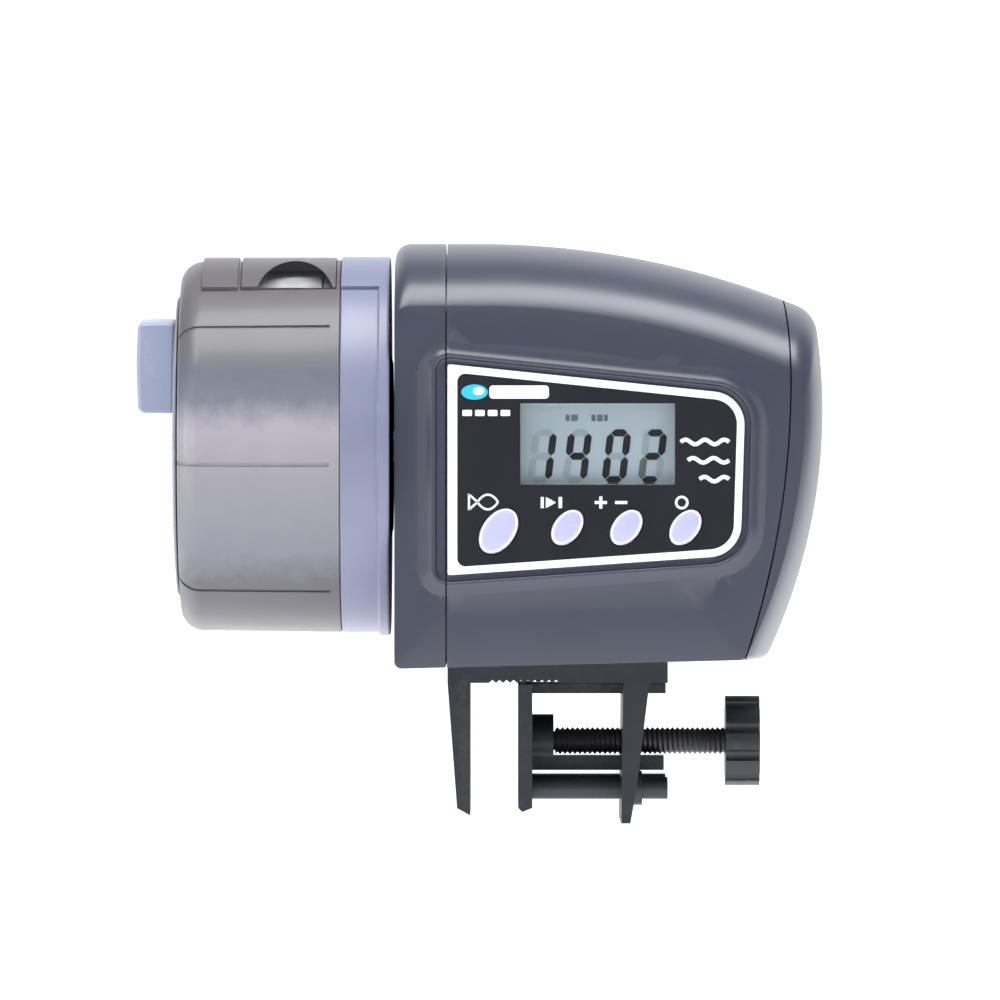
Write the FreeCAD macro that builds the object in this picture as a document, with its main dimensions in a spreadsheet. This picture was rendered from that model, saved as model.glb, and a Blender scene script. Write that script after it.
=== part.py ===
import FreeCAD, Part
import math
import os
import re
import Sketcher

# An automatic fish feeder that clamps on the rim of a tank.
# Millimetres. X runs along the unit, from the turning food drum (left) to the
# battery cover (right); Y runs from the control panel (front) to the back; Z is up.
# The origin is the middle of the flat seat under the clamp bracket, which
# rests on the rim of the tank.

Vector = FreeCAD.Vector
Rotation = FreeCAD.Rotation
Placement = FreeCAD.Placement

# ---------------------------------------------------------------------------
# Driving dimensions
# ---------------------------------------------------------------------------

DIMENSIONS = {
    # housing
    "half_depth": 34.0,
    "skin": 2.0,
    "body_left": -16.8,
    "body_top": 87.4,
    "bottom_left_height": 3.0,
    "bottom_right_height": 4.8,
    "bottom_right": 55.4,
    "top_radius": 169.0,
    "nose_right": 68.4,
    "nose_radius": 113.0,
    "nose_height": 54.0,
    "nose_corner_radius": 6.5,
    "toe_corner_radius": 2.2,
    "left_corner_radius": 3.0,
    "shoulder_drop": 13.2,
    "nose_drop": 4.5,
    "shell_seam": -6.6,
    "seam_gap": 0.3,
    "cover_seam_top": 60.4,
    "cover_seam_middle": 60.6,
    "cover_seam_bottom": 52.2,
    # control panel
    "panel_left": -6.3,
    "plateau_left": -9.2,
    "plateau_rise": 1.6,
    "label_thickness": 0.5,
    "panel_tall_height": 62.9,
    "panel_low_height": 21.4,
    "panel_top_slope": 0.1032,
    "panel_bottom_slope": 0.0683,
    "panel_right": 52.2,
    "panel_right_slope": 0.031,
    "panel_corner_radius": 6.5,
    "window_left": 8.0,
    "window_right": 38.4,
    "window_low": 39.2,
    "window_high": 55.2,
    "board_front": -27.0,
    "board_thickness": 1.6,
    "button_clearance": 0.25,
    # food drum, along X from the drum's axis
    "drum_axis_height": 47.0,
    "drum_turn": 6.0,
    "cup_end": -59.6,
    "cup_mouth": -27.6,
    "cup_radius": 37.2,
    "cup_end_radius": 36.8,
    "cup_bore_radius": 35.0,
    "cup_corner_radius": 4.5,
    "cup_end_wall": 2.0,
    "sector_half_angle": 27.6,
    "sector_radius": 37.7,
    "outlet_left": -47.3,
    "outlet_right": -28.5,
    "moon_radius": 7.8,
    "moon_centre": -36.6,
    "moon_height": 29.0,
    "moon_floor": 31.2,
    "ring_face": -17.8,
    "ring_flange_radius": 37.85,
    "socket_radius": 20.2,
    "dial_radius": 30.0,
    "dial_hub_radius": 6.0,
    "shutter_radius": 34.7,
    "shutter_thickness": 1.1,
    # drive
    "shaft_radius": 3.0,
    "shaft_tail_radius": 2.2,
    "shaft_step": -6.7,
    "shell_boss_end": 2.8,
    "axle_radius": 1.0,
    "gear_module": 0.6,
    "gear_distance": 15.0,
    "gear_face": 3.0,
    "output_gear_left": -9.9,
    "plate_left": 3.0,
    "plate_thickness": 2.0,
    "running_gap": 0.05,
    # cells
    "cell_radius": 7.1,
    "cell_length": 50.0,
    "cell_across": 49.0,
    "cell_spacing": 16.4,
    "cell_low": 17.9,
    # clamp
    "bracket_half_depth": 22.0,
    "bracket_right": 37.2,
    "leg_face": -1.9,
    "leg_low": -26.2,
    "tooth_pitch": 1.4,
    "tooth_depth": 0.6,
    "jaw_face": 7.6,
    "jaw_thickness": 2.8,
    "jaw_low": -25.6,
    "jaw_half_depth": 20.0,
    "screw_height": -11.9,
    "screw_radius": 2.7,
    "trough_top": -14.8,
    "rod_height": -21.0,
    "rod_radius": 2.2,
    "rod_across": 13.0,
    "far_leg_left": 28.4,
    "far_leg_right": 33.6,
    "far_leg_low": -27.8,
    "knob_radius": 9.0,
    "knob_left": 49.0,
    "knob_length": 6.8,
}

doc = FreeCAD.newDocument("FishFeeder")
sheet = doc.addObject("Spreadsheet::Sheet", "Dims")
for row, (alias, size) in enumerate(DIMENSIONS.items(), start=1):
    sheet.set(f"A{row}", alias)
    sheet.set(f"B{row}", str(size))
    sheet.setAlias(f"B{row}", alias)
doc.recompute()

NODES = []


def link(text):
    """Point each dimension name in an expression at the sheet."""
    def prefixed(match):
        word = match.group()
        return "Dims." + word if word in DIMENSIONS else word
    return re.sub(r"[a-z_]+", prefixed, str(text))


def value(text):
    """Work an expression out to a plain number."""
    return float(sheet.evalExpression(link(text)))


def node(label, piece):
    """Name a finished sub-part, so that it is written out."""
    piece.Label = label
    NODES.append(piece)
    return piece


# ---------------------------------------------------------------------------
# Building blocks
# ---------------------------------------------------------------------------

def box(name, xs, ys, zs):
    """A block between two expressions along each axis."""
    piece = doc.addObject("Part::Box", name)
    spans = zip(("Length", "Width", "Height"), "xyz", (xs, ys, zs))
    for side, axis, (low, high) in spans:
        piece.setExpression(side, link(f"({high}) - ({low})"))
        piece.setExpression(f".Placement.Base.{axis}", link(low))
    return piece


def rod(name, axis, start, end, across, up, radius):
    """A round bar along X, Y or Z; across and up place its centre line."""
    piece = doc.addObject("Part::Cylinder", name)
    turns = {
        "x": (Rotation(Vector(0, 1, 0), 90), ("x", "y", "z")),
        "y": (Rotation(Vector(1, 0, 0), -90), ("y", "x", "z")),
        "z": (Rotation(), ("z", "x", "y")),
    }
    rotation, order = turns[axis]
    piece.Placement = Placement(Vector(), rotation)
    for letter, text in zip(order, (start, across, up)):
        piece.setExpression(f".Placement.Base.{letter}", link(text))
    piece.setExpression("Radius", link(radius))
    piece.setExpression("Height", link(f"({end}) - ({start})"))
    return piece


def fuse(name, *pieces):
    joined = doc.addObject("Part::MultiFuse", name)
    joined.Shapes = list(pieces)
    return joined


def group(name, *pieces):
    """Separate solids that share one node."""
    gathered = doc.addObject("Part::Compound", name)
    gathered.Links = list(pieces)
    return gathered


def cut(name, base, *tools):
    tool = tools[0] if len(tools) == 1 else fuse(name + "_tools", *tools)
    trimmed = doc.addObject("Part::Cut", name)
    trimmed.Base = base
    trimmed.Tool = tool
    return trimmed


def common(name, first, second):
    kept = doc.addObject("Part::Common", name)
    kept.Base = first
    kept.Tool = second
    return kept


def origin_plane(body, role):
    return [item for item in body.Origin.OriginFeatures if item.Role == role][0]


def outline(body, role, points):
    """A closed sketch of straight lines; every corner is held by two expressions."""
    sketch = body.newObject("Sketcher::SketchObject", body.Name + "_outline")
    sketch.AttachmentSupport = (origin_plane(body, role), [""])
    sketch.MapMode = "FlatFace"
    corners = [Vector(value(x), value(y), 0) for x, y in points]
    count = len(corners)
    for index in range(count):
        sketch.addGeometry(Part.LineSegment(corners[index], corners[(index + 1) % count]))
    for index in range(count):
        sketch.addConstraint(Sketcher.Constraint("Coincident", index, 2, (index + 1) % count, 1))
    for index, (x, y) in enumerate(points):
        for kind, text, place in (("DistanceX", x, corners[index].x), ("DistanceY", y, corners[index].y)):
            held = sketch.addConstraint(Sketcher.Constraint(kind, index, 1, place))
            sketch.setExpression(f"Constraints[{held}]", link(text))
    return sketch


def turned(name, points):
    """A piece turned about the X axis from (along, radius) corners."""
    body = doc.addObject("PartDesign::Body", name)
    sketch = outline(body, "XZ_Plane", points)
    turn = body.newObject("PartDesign::Revolution", name + "_turn")
    turn.Profile = sketch
    turn.ReferenceAxis = (sketch, ["H_Axis"])
    turn.Angle = 360
    return body


def profile_plate(name, points, half_width):
    """A piece of one upright outline, the same all across its depth."""
    body = doc.addObject("PartDesign::Body", name)
    sketch = outline(body, "XZ_Plane", points)
    pad = body.newObject("PartDesign::Pad", name + "_pad")
    pad.Profile = sketch
    pad.Midplane = True
    pad.setExpression("Length", link(f"2 * ({half_width})"))
    return body


def sector(name, start, end, outer, inner, angle):
    """A curved plate: a stretch of tube about X, centred on the top."""
    slice_name = name + "_slice"
    piece = doc.addObject("Part::Cylinder", slice_name)
    piece.setExpression("Radius", link(outer))
    piece.setExpression("Height", link(f"({end}) - ({start})"))
    piece.setExpression("Angle", link(f"2 * ({angle})"))
    # local X goes to world -Z, so the slice is turned on until it straddles +Z
    upright = Rotation(Vector(0, 1, 0), 90)
    swing = Rotation(Vector(1, 0, 0), 180 - value(angle))
    piece.Placement = Placement(Vector(), swing.multiply(upright))
    piece.setExpression(".Placement.Base.x", link(start))
    core = rod(name + "_core", "x", f"({start}) - 1", f"({end}) + 1", 0, 0, inner)
    return cut(name, piece, core)


def on_drum_axis(piece):
    """Lift a piece from its own axis to the drum's, turned as the drum rests."""
    piece.Placement = Placement(Vector(), Rotation(Vector(1, 0, 0), value("drum_turn")))
    piece.setExpression(".Placement.Base.z", link("drum_axis_height"))
    return piece


# ---------------------------------------------------------------------------
# Housing shells
# ---------------------------------------------------------------------------

SKIN = value("skin")


def between(first, second, share=0.5):
    return first + (second - first) * share


def arc(start, middle, end):
    return Part.Arc(start, middle, end).toShape()


def line(start, end):
    return Part.LineSegment(start, end).toShape()


def circle_meeting(first, first_radius, second, second_radius):
    """The upper crossing of two circles in an upright plane."""
    apart = second - first
    distance = apart.Length
    along = (first_radius ** 2 - second_radius ** 2 + distance ** 2) / (2 * distance)
    aside = math.sqrt(first_radius ** 2 - along ** 2)
    direction = apart * (1 / distance)
    normal = Vector(-direction.z, 0, direction.x)
    crossings = [first + direction * along + normal * (aside * sign) for sign in (1, -1)]
    return max(crossings, key=lambda point: point.x)


def round_corner(centre, radius, start, end):
    """An arc about a centre, from start to end, by the short way."""
    middle = centre + (between(start, end) - centre).normalize() * radius
    return arc(start, middle, end)


def housing_section(swing, inset):
    """One upright outline of the housing at its place across the depth."""
    lowered = 1 - math.cos(swing)
    y = (value("half_depth") - inset) * math.sin(swing)
    left = value("body_left") + inset
    low_left = Vector(left, y, value("bottom_left_height") + inset)
    rise = value("bottom_right_height") - value("bottom_left_height")
    run = value("bottom_right") - value("body_left")
    along = Vector(run, 0, rise).normalize()
    upward = Vector(-along.z, 0, along.x)

    top_radius = value("top_radius") - inset - value("shoulder_drop") * lowered
    top_centre = Vector(0, y, value("body_top") - value("top_radius"))
    nose_radius = value("nose_radius") - inset - value("nose_drop") * lowered
    nose_centre = Vector(value("nose_right") - value("nose_radius"), y, value("nose_height"))

    corner = value("nose_corner_radius")
    corner_centre = circle_meeting(top_centre, top_radius - corner, nose_centre, nose_radius - corner)
    top_end = top_centre + (corner_centre - top_centre).normalize() * top_radius
    nose_start = nose_centre + (corner_centre - nose_centre).normalize() * nose_radius

    toe = value("toe_corner_radius")
    base = low_left + upward * toe
    offset = base - nose_centre
    half = offset.dot(along)
    reach = -half + math.sqrt(half ** 2 - offset.dot(offset) + (nose_radius - toe) ** 2)
    toe_centre = base + along * reach
    toe_start = toe_centre - upward * toe
    nose_end = nose_centre + (toe_centre - nose_centre).normalize() * nose_radius

    bend = value("left_corner_radius")
    top_height = top_centre.z + top_radius
    flat_end = Vector(0, y, top_height)
    flat_start = Vector(left + bend, y, top_height)
    left_top = Vector(left, y, top_height - bend)
    bend_centre = Vector(left + bend, y, top_height - bend)
    nose_middle = nose_centre + (between(nose_start, nose_end) - nose_centre).normalize() * nose_radius
    top_middle = top_centre + (between(flat_end, top_end) - top_centre).normalize() * top_radius
    return Part.Wire([
        line(low_left, toe_start),
        round_corner(toe_centre, toe, toe_start, nose_end),
        arc(nose_end, nose_middle, nose_start),
        round_corner(corner_centre, corner, nose_start, top_end),
        arc(top_end, top_middle, flat_end),
        line(flat_end, flat_start),
        round_corner(bend_centre, bend, flat_start, left_top),
        line(left_top, low_left),
    ])


def housing_solid(inset):
    """The whole housing as one solid, drawn in by an inset all round."""
    steps = range(-6, 7)
    sections = [housing_section(math.radians(15 * step), inset) for step in steps]
    return Part.makeLoft(sections, True, False)


FAR = 200.0


def block(x_low, x_high):
    """Everything between two upright planes."""
    return Part.makeBox(x_high - x_low, FAR, FAR, Vector(x_low, -FAR / 2, -FAR / 4))


def beyond_cover_seam(shift):
    """Everything to the right of the battery cover's seam, moved by a shift."""
    top = Vector(value("cover_seam_top") + shift, 0, value("body_top") - 11.2)
    middle = Vector(value("cover_seam_middle") + shift, 0, value("drum_axis_height") - 1.8)
    bottom = Vector(value("cover_seam_bottom") + shift, 0, value("bottom_right_height"))
    over = Vector(top.x - 1.5, 0, top.z + 20)
    under = Vector(bottom.x - 4.5, 0, bottom.z - 14)
    right_over = Vector(FAR, 0, over.z)
    right_under = Vector(FAR, 0, under.z)
    edges = [line(under, bottom), arc(bottom, middle, top), line(top, over)]
    edges += [line(over, right_over), line(right_over, right_under), line(right_under, under)]
    face = Part.Face(Part.Wire(edges))
    face.translate(Vector(0, -FAR / 2, 0))
    return face.extrude(Vector(0, FAR, 0))


def rounded_outline(corners, radii, y):
    """A closed outline at a depth y, each corner turned with its own radius."""
    points = [Vector(x, y, z) for x, z in corners]
    count = len(points)
    bends = []
    for index, here in enumerate(points):
        back = (points[index - 1] - here).normalize()
        ahead = (points[(index + 1) % count] - here).normalize()
        half = back.getAngle(ahead) / 2
        radius = radii[index]
        centre = here + (back + ahead).normalize() * (radius / math.sin(half))
        reach = radius / math.tan(half)
        bends.append((here + back * reach, centre + (here - centre).normalize() * radius, here + ahead * reach))
    edges = []
    for index, (start, middle, end) in enumerate(bends):
        edges.append(arc(start, middle, end))
        edges.append(line(end, bends[(index + 1) % count][0]))
    return Part.Wire(edges)


def panel_corners(grow, left):
    """Four corners of the control panel's outline, grown outwards."""
    right = value("panel_right") + grow

    def upper(x):
        return value("panel_tall_height") - value("panel_top_slope") * (x - value("panel_left")) + grow

    def lower(x):
        return value("panel_low_height") + value("panel_bottom_slope") * (x - value("panel_left")) - grow

    lean = value("panel_right_slope") * (upper(right) - lower(right))
    return [(left, upper(left)), (right, upper(right)), (right - lean, lower(right)), (left, lower(left))]


def panel_outline(grow, left, y, left_radius):
    turn = value("panel_corner_radius") + grow
    return rounded_outline(panel_corners(grow, left), [left_radius, turn, turn, left_radius], y)


def prism(wire, depth):
    """A solid that runs back from a flat outline."""
    return Part.Face(wire).extrude(Vector(0, depth, 0))


def shell_shapes():
    """The three shells of the housing, with the raised panel on the front."""
    gap = value("seam_gap") / 2
    seam = value("shell_seam")
    front = -value("half_depth")
    rise = value("plateau_rise")
    left = value("plateau_left")
    outer = housing_solid(0)
    inner = housing_solid(SKIN)
    foot = panel_outline(3.4, left - 1.6, front + 0.6, 4.6)
    ridge = panel_outline(1.8, left, front - rise, 3.0)
    plateau = Part.makeLoft([foot, ridge], True, True)
    recess = prism(panel_outline(0.15, value("panel_left") - 0.15, front - rise - 1, 0.6),
                   1 + value("label_thickness"))
    skin = outer.fuse(plateau).cut(inner).cut(recess)
    lip_outer = housing_solid(SKIN + 0.15)
    lip_root = housing_solid(SKIN - 0.6)
    lip_inner = housing_solid(SKIN + 1.2)
    lip = lip_outer.cut(lip_inner)
    root = lip_root.cut(lip_inner)
    left_shell = skin.common(block(-FAR / 4, seam - gap))
    cover = skin.common(beyond_cover_seam(gap))
    middle = skin.common(block(seam + gap, FAR)).cut(beyond_cover_seam(-gap))
    lips = [
        lip.common(block(seam - 2.5, seam + 3)),
        root.common(block(seam + gap, seam + 3)),
        lip.common(beyond_cover_seam(-3)).cut(beyond_cover_seam(2.5)),
        root.common(beyond_cover_seam(-3)).cut(beyond_cover_seam(-gap)),
    ]
    main = middle.fuse(lips)
    return left_shell, main, cover


def shape_feature(name, shape):
    feature = doc.addObject("Part::Feature", name)
    feature.Shape = shape
    return feature


left_shape, main_shape, cover_shape = shell_shapes()

# The gear plate's four posts, as (across, up) from the origin.
PLATE_POSTS = ((24.5, 13.5), (-12, 14), (-14, 60), (25, 56))
# Four screws hold the two shells together, as (across, up).
SHELL_SCREWS = ((-28.6, 8.4), (28.6, 8.4), (-28.6, 70), (28.6, 70))
# Four posts carry the circuit board, as (along, up).
BOARD_POSTS = ((-1.8, 24), (46.8, 24), (-1.8, 58), (46.8, 58))
# Two screws hold the clamp bracket, as (along, across).
BRACKET_SCREWS = ((22, -15), (22, 15))

BUTTONS = {
    # name: (along, up, long half axis, short half axis, lean from upright)
    "button_feed": (3.7, 30.1, 4.9, 3.2, 35),
    "button_mode": (17.2, 30.8, 3.9, 2.6, 38),
    "button_adjust": (28.8, 30.8, 3.9, 2.6, 38),
    "button_set": (40.4, 30.8, 3.9, 2.6, 38),
}


def drum_side_shell():
    """The left shell, with the bush hole, the gear posts and the screw holes."""
    skin = shape_feature("drum_side_skin", left_shape)
    posts = [rod(f"post_{index}", "x", "body_left + skin - 0.5", "plate_left", y, z, 2.5)
             for index, (y, z) in enumerate(PLATE_POSTS)]
    holes = [rod("bush_hole", "x", "body_left - 1", "body_left + skin + 1", 0, "drum_axis_height", 8)]
    for index, (y, z) in enumerate(SHELL_SCREWS):
        holes.append(rod(f"screw_way_{index}", "x", "body_left - 1", "body_left + skin + 1", y, z, 1.7))
        holes.append(rod(f"screw_seat_{index}", "x", "body_left - 1", "body_left + 1.2", y, z, 2.8))
    for index, (y, z) in enumerate(PLATE_POSTS):
        holes.append(rod(f"post_pilot_{index}", "x", "plate_left - 7", "plate_left + 1", y, z, 1.1))
    solid = fuse("drum_side_solid", skin, *posts)
    node("drum_side_shell", cut("drum_side_trim", solid, *holes))


def slanted_prism(name, along, up, long_half, short_half, lean, start, end):
    """An oval bar from the front to the back, leaning to the right."""
    oval = doc.addObject("Part::Ellipse", name + "_oval")
    oval.MajorRadius = long_half
    oval.MinorRadius = short_half
    upright = Rotation(Vector(1, 0, 0), 90)
    oval.Placement = Placement(Vector(along, 0, up), upright.multiply(Rotation(Vector(0, 0, 1), 90 - lean)))
    oval.setExpression(".Placement.Base.y", link(start))
    bar = doc.addObject("Part::Extrusion", name)
    bar.Base = oval
    bar.DirMode = "Custom"
    bar.Dir = Vector(0, 1, 0)
    bar.Solid = True
    bar.setExpression("LengthFwd", link(f"({end}) - ({start})"))
    return bar


def main_shell():
    """The middle shell, with its posts, the display window and the button holes."""
    skin = shape_feature("main_skin", main_shape)
    added = []
    holes = []
    for index, (y, z) in enumerate(SHELL_SCREWS):
        added.append(rod(f"shell_boss_{index}", "x", "shell_seam + seam_gap / 2", "shell_boss_end", y, z, 3.4))
        holes.append(rod(f"shell_pilot_{index}", "x", -8, "shell_boss_end - 0.6", y, z, 1.1))
    for index, (x, z) in enumerate(BOARD_POSTS):
        added.append(rod(f"board_post_{index}", "y", "-half_depth + skin - 0.6", "board_front", x, z, 2))
        holes.append(rod(f"board_pilot_{index}", "y", "board_front - 3.5", "board_front + 1", x, z, 0.8))
    for index, (x, y) in enumerate(BRACKET_SCREWS):
        added.append(rod(f"bracket_boss_{index}", "z", 5, 11, x, y, 3))
        holes.append(rod(f"bracket_pilot_{index}", "z", 2, 9, x, y, 1.1))
    added.append(box("tray_rib", (43, 50), (-15, 15), (5.5, 13)))
    holes.append(box("window_way", ("window_left", "window_right"),
                     ("-half_depth - 3", "-half_depth + skin + 1"), ("window_low", "window_high")))
    for name, (x, z, long_half, short_half, lean) in BUTTONS.items():
        room = value("button_clearance")
        holes.append(slanted_prism(name + "_way", x, z, long_half + room, short_half + room, lean,
                                   "-half_depth - 3", "-half_depth + skin + 1"))
    solid = fuse("main_solid", skin, *added)
    node("main_shell", cut("main_trim", solid, *holes))


def battery_cover():
    node("battery_cover", shape_feature("cover_skin", cover_shape))


# ---------------------------------------------------------------------------
# Control panel
# ---------------------------------------------------------------------------

def control_panel():
    """The printed plate, with openings for the window and the buttons."""
    back = -value("half_depth") - value("plateau_rise") + value("label_thickness")
    front = back - value("label_thickness")
    plate = shape_feature("panel_blank", prism(panel_outline(0, value("panel_left"), front, 0.5), back - front))
    depth = ("-half_depth - plateau_rise - 1", "-half_depth")
    holes = [box("panel_window", ("window_left", "window_right"), depth, ("window_low", "window_high"))]
    room = value("button_clearance")
    for name, (x, z, long_half, short_half, lean) in BUTTONS.items():
        holes.append(slanted_prism(name + "_panel_way", x, z, long_half + room, short_half + room, lean, *depth))
    node("control_panel", cut("panel_trim", plate, *holes))


def display():
    """The clear window in the shell, and the liquid-crystal module behind it."""
    node("lcd_window", box("window_pane", ("window_left + 0.1", "window_right - 0.1"),
                           ("-half_depth", "-half_depth + 1.2"), ("window_low + 0.1", "window_high - 0.1")))
    node("lcd_module", box("lcd_block", ("window_left - 2", "window_right + 2"),
                           ("-half_depth + skin + 0.1", "board_front - 1.5"),
                           ("window_low - 1.2", "window_high + 1.8")))
    strips = [box(f"strip_{index}", ("window_left", "window_right"), ("board_front - 1.5", "board_front"),
                  (f"{height} - 0.8", f"{height} + 0.8")) for index, height in enumerate((39.6, 55.4))]
    node("lcd_connector_strips", group("strips", *strips))


def circuit_board():
    """The board on its four posts, with its screws and the button switches."""
    plate = box("board_plate", (-4.5, 49.5), ("board_front", "board_front + board_thickness"), (21.5, 60.5))
    ways = [rod(f"board_way_{index}", "y", "board_front - 1", "board_front + 3", x, z, 1.1)
            for index, (x, z) in enumerate(BOARD_POSTS)]
    node("circuit_board", cut("board_trim", plate, *ways))
    screws = []
    for index, (x, z) in enumerate(BOARD_POSTS):
        head = rod(f"board_head_{index}", "y", "board_front + board_thickness",
                   "board_front + board_thickness + 1.4", x, z, 2)
        stem = rod(f"board_stem_{index}", "y", "board_front - 3", "board_front + board_thickness + 0.5", x, z, 0.75)
        screws.append(fuse(f"board_screw_{index}", head, stem))
    node("board_screws", group("board_screw_set", *screws))
    switches = []
    for name, (x, z, *_) in BUTTONS.items():
        case = box(name + "_switch_case", (x - 3, x + 3), ("board_front - 2", "board_front"), (z - 3, z + 3))
        stem = rod(name + "_switch_stem", "y", "board_front - 3.05", "board_front - 1", x, z, 1.6)
        switches.append(fuse(name + "_switch", case, stem))
    node("tact_switches", group("switch_set", *switches))


def push_buttons():
    """Four oval buttons with a flange that keeps each behind the shell."""
    for name, (x, z, long_half, short_half, lean) in BUTTONS.items():
        stem = slanted_prism(name + "_stem", x, z, long_half, short_half, lean,
                             "-half_depth - plateau_rise - 0.9", "-half_depth + skin + 0.9")
        flange = slanted_prism(name + "_flange", x, z, long_half + 1, short_half + 1, lean,
                               "-half_depth + skin + 0.1", "-half_depth + skin + 0.9")
        node(name, fuse(name + "_solid", stem, flange))


# ---------------------------------------------------------------------------
# Drive: gears, plate, motor, shaft
# ---------------------------------------------------------------------------

PRESSURE_ANGLE = math.radians(20)
WHEEL_TEETH = 40
PINION_TEETH = 10
ADDENDUM = 0.75
DEDENDUM = 1.1
BACKLASH = 0.12


def gear_profile(teeth, phase):
    """One gear's tooth outline about the X axis, a tooth's middle at the phase."""
    module = value("gear_module")
    pitch_radius = module * teeth / 2
    base_radius = pitch_radius * math.cos(PRESSURE_ANGLE)
    tip_radius = pitch_radius + ADDENDUM * module
    root_radius = pitch_radius - DEDENDUM * module
    start_radius = max(base_radius, root_radius)
    spread = math.tan(PRESSURE_ANGLE) - PRESSURE_ANGLE
    half_tooth = math.pi / (2 * teeth) - BACKLASH / (2 * pitch_radius)
    flank = []
    for step in range(5):
        radius = start_radius + (tip_radius - start_radius) * step / 4
        roll = math.acos(min(1, base_radius / radius))
        flank.append((radius, half_tooth + spread - (math.tan(roll) - roll)))
    flank.insert(0, (root_radius, flank[0][1]))
    points = []
    for tooth in range(teeth):
        middle = math.radians(phase) + tooth * 2 * math.pi / teeth
        turns = [(radius, middle - half) for radius, half in flank]
        turns += [(radius, middle + half) for radius, half in reversed(flank)]
        points += [Vector(0, radius * math.cos(turn), radius * math.sin(turn)) for radius, turn in turns]
    return Part.makePolygon(points + [points[0]])


def gear(teeth, phase, left, length):
    face = Part.Face(gear_profile(teeth, phase))
    face.translate(Vector(left, 0, 0))
    return face.extrude(Vector(length, 0, 0))


def meshing_phase(phase, teeth, other_teeth, heading):
    """The phase of a second gear, so that its gap takes the first one's tooth."""
    return heading + 180 - (phase - heading) * teeth / other_teeth - 180 / other_teeth


def gear_shaft_places():
    """The axes of the train, as (across, up): output, second, first, motor."""
    distance = value("gear_distance")
    output = (0.0, value("drum_axis_height"))
    headings = (-90, -30, 60)
    places = [output]
    for heading in headings:
        y, z = places[-1]
        turn = math.radians(heading)
        places.append((y + distance * math.cos(turn), z + distance * math.sin(turn)))
    return places, headings


GEAR_PLACES, GEAR_HEADINGS = gear_shaft_places()


def bored_gear(name, shape, bore, length_from, length_to, place):
    """A gear shape with its bore, set on its own axle."""
    hole = Part.makeCylinder(bore, length_to - length_from, Vector(length_from, 0, 0), Vector(1, 0, 0))
    feature = shape_feature(name, shape.cut(hole))
    feature.Placement = Placement(Vector(0, *place), Rotation())
    return feature


def gear_train():
    """Three stages of four to one, from the motor's pinion to the drum's shaft."""
    face = value("gear_face")
    pitch = face + 0.5
    first_left = value("output_gear_left")
    second_left = first_left + pitch
    third_left = second_left + pitch
    bore = value("axle_radius + running_gap")
    output_phase = 90
    wheel_phase = 0
    output = gear(WHEEL_TEETH, output_phase, first_left, face)
    node("output_gear", bored_gear("output_wheel", output, value("shaft_radius + 0.01"),
                                   first_left - 1, first_left + face + 1, GEAR_PLACES[0]))

    def compound(name, heading, phase, left):
        pinion_phase = meshing_phase(phase, WHEEL_TEETH, PINION_TEETH, heading)
        pinion = gear(PINION_TEETH, pinion_phase, left, pitch)
        wheel = gear(WHEEL_TEETH, wheel_phase, left + pitch, face)
        place = GEAR_PLACES[GEAR_HEADINGS.index(heading) + 1]
        node(name, bored_gear(name + "_wheels", pinion.fuse(wheel), bore, left - 1, left + pitch + face + 1, place))

    compound("second_gear", GEAR_HEADINGS[0], output_phase, first_left)
    compound("first_gear", GEAR_HEADINGS[1], wheel_phase, second_left)
    pinion_phase = meshing_phase(wheel_phase, WHEEL_TEETH, PINION_TEETH, GEAR_HEADINGS[2])
    pinion = gear(PINION_TEETH, pinion_phase, third_left, face)
    spindle = Part.makeCylinder(value("axle_radius"), 10, Vector(third_left, 0, 0), Vector(1, 0, 0))
    feature = shape_feature("motor_pinion_solid", pinion.fuse(spindle))
    feature.Placement = Placement(Vector(0, *GEAR_PLACES[3]), Rotation())
    node("motor_pinion", feature)


def gear_case():
    """The plate that carries the axles and the motor, and its screws."""
    plate = box("gear_plate_blank", ("plate_left", "plate_left + plate_thickness"), (-17.5, 29), (10, 63.5))
    ways = [rod(f"plate_way_{index}", "x", "plate_left - 1", "plate_left + plate_thickness + 1", y, z, 1.3)
            for index, (y, z) in enumerate(PLATE_POSTS)]
    radii = ("shaft_tail_radius - 0.5 + running_gap", "axle_radius + 0.02", "axle_radius + 0.02", "axle_radius + 0.5")
    for index, ((y, z), radius) in enumerate(zip(GEAR_PLACES, radii)):
        ways.append(rod(f"axle_way_{index}", "x", "plate_left - 1", "plate_left + plate_thickness + 1", y, z, radius))
    node("gear_plate", cut("gear_plate_trim", plate, *ways))
    axles = [rod(f"axle_{index}", "x", "body_left + skin", "plate_left + plate_thickness", y, z, "axle_radius")
             for index, (y, z) in enumerate(GEAR_PLACES[1:3])]
    node("gear_axles", group("axle_pair", *axles))
    screws = []
    for index, (y, z) in enumerate(PLATE_POSTS):
        head = rod(f"plate_head_{index}", "x", "plate_left + plate_thickness",
                   "plate_left + plate_thickness + 1.6", y, z, 2.2)
        stem = rod(f"plate_stem_{index}", "x", "plate_left - 6", "plate_left + plate_thickness + 0.5", y, z, 1.05)
        screws.append(fuse(f"plate_screw_{index}", head, stem))
    node("gear_plate_screws", group("plate_screw_set", *screws))


def motor():
    """A small flat-sided motor on the gear plate."""
    y, z = GEAR_PLACES[3]
    can = rod("motor_can", "x", "plate_left + plate_thickness", 30, y, z, 10)
    flats = box("motor_flats", (0, 40), (y - 7.5, y + 7.5), (z - 10, z + 10))
    bearing = rod("motor_bore", "x", 0, 9, y, z, "axle_radius + running_gap")
    node("motor", cut("motor_solid", common("motor_block", can, flats), bearing))


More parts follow.
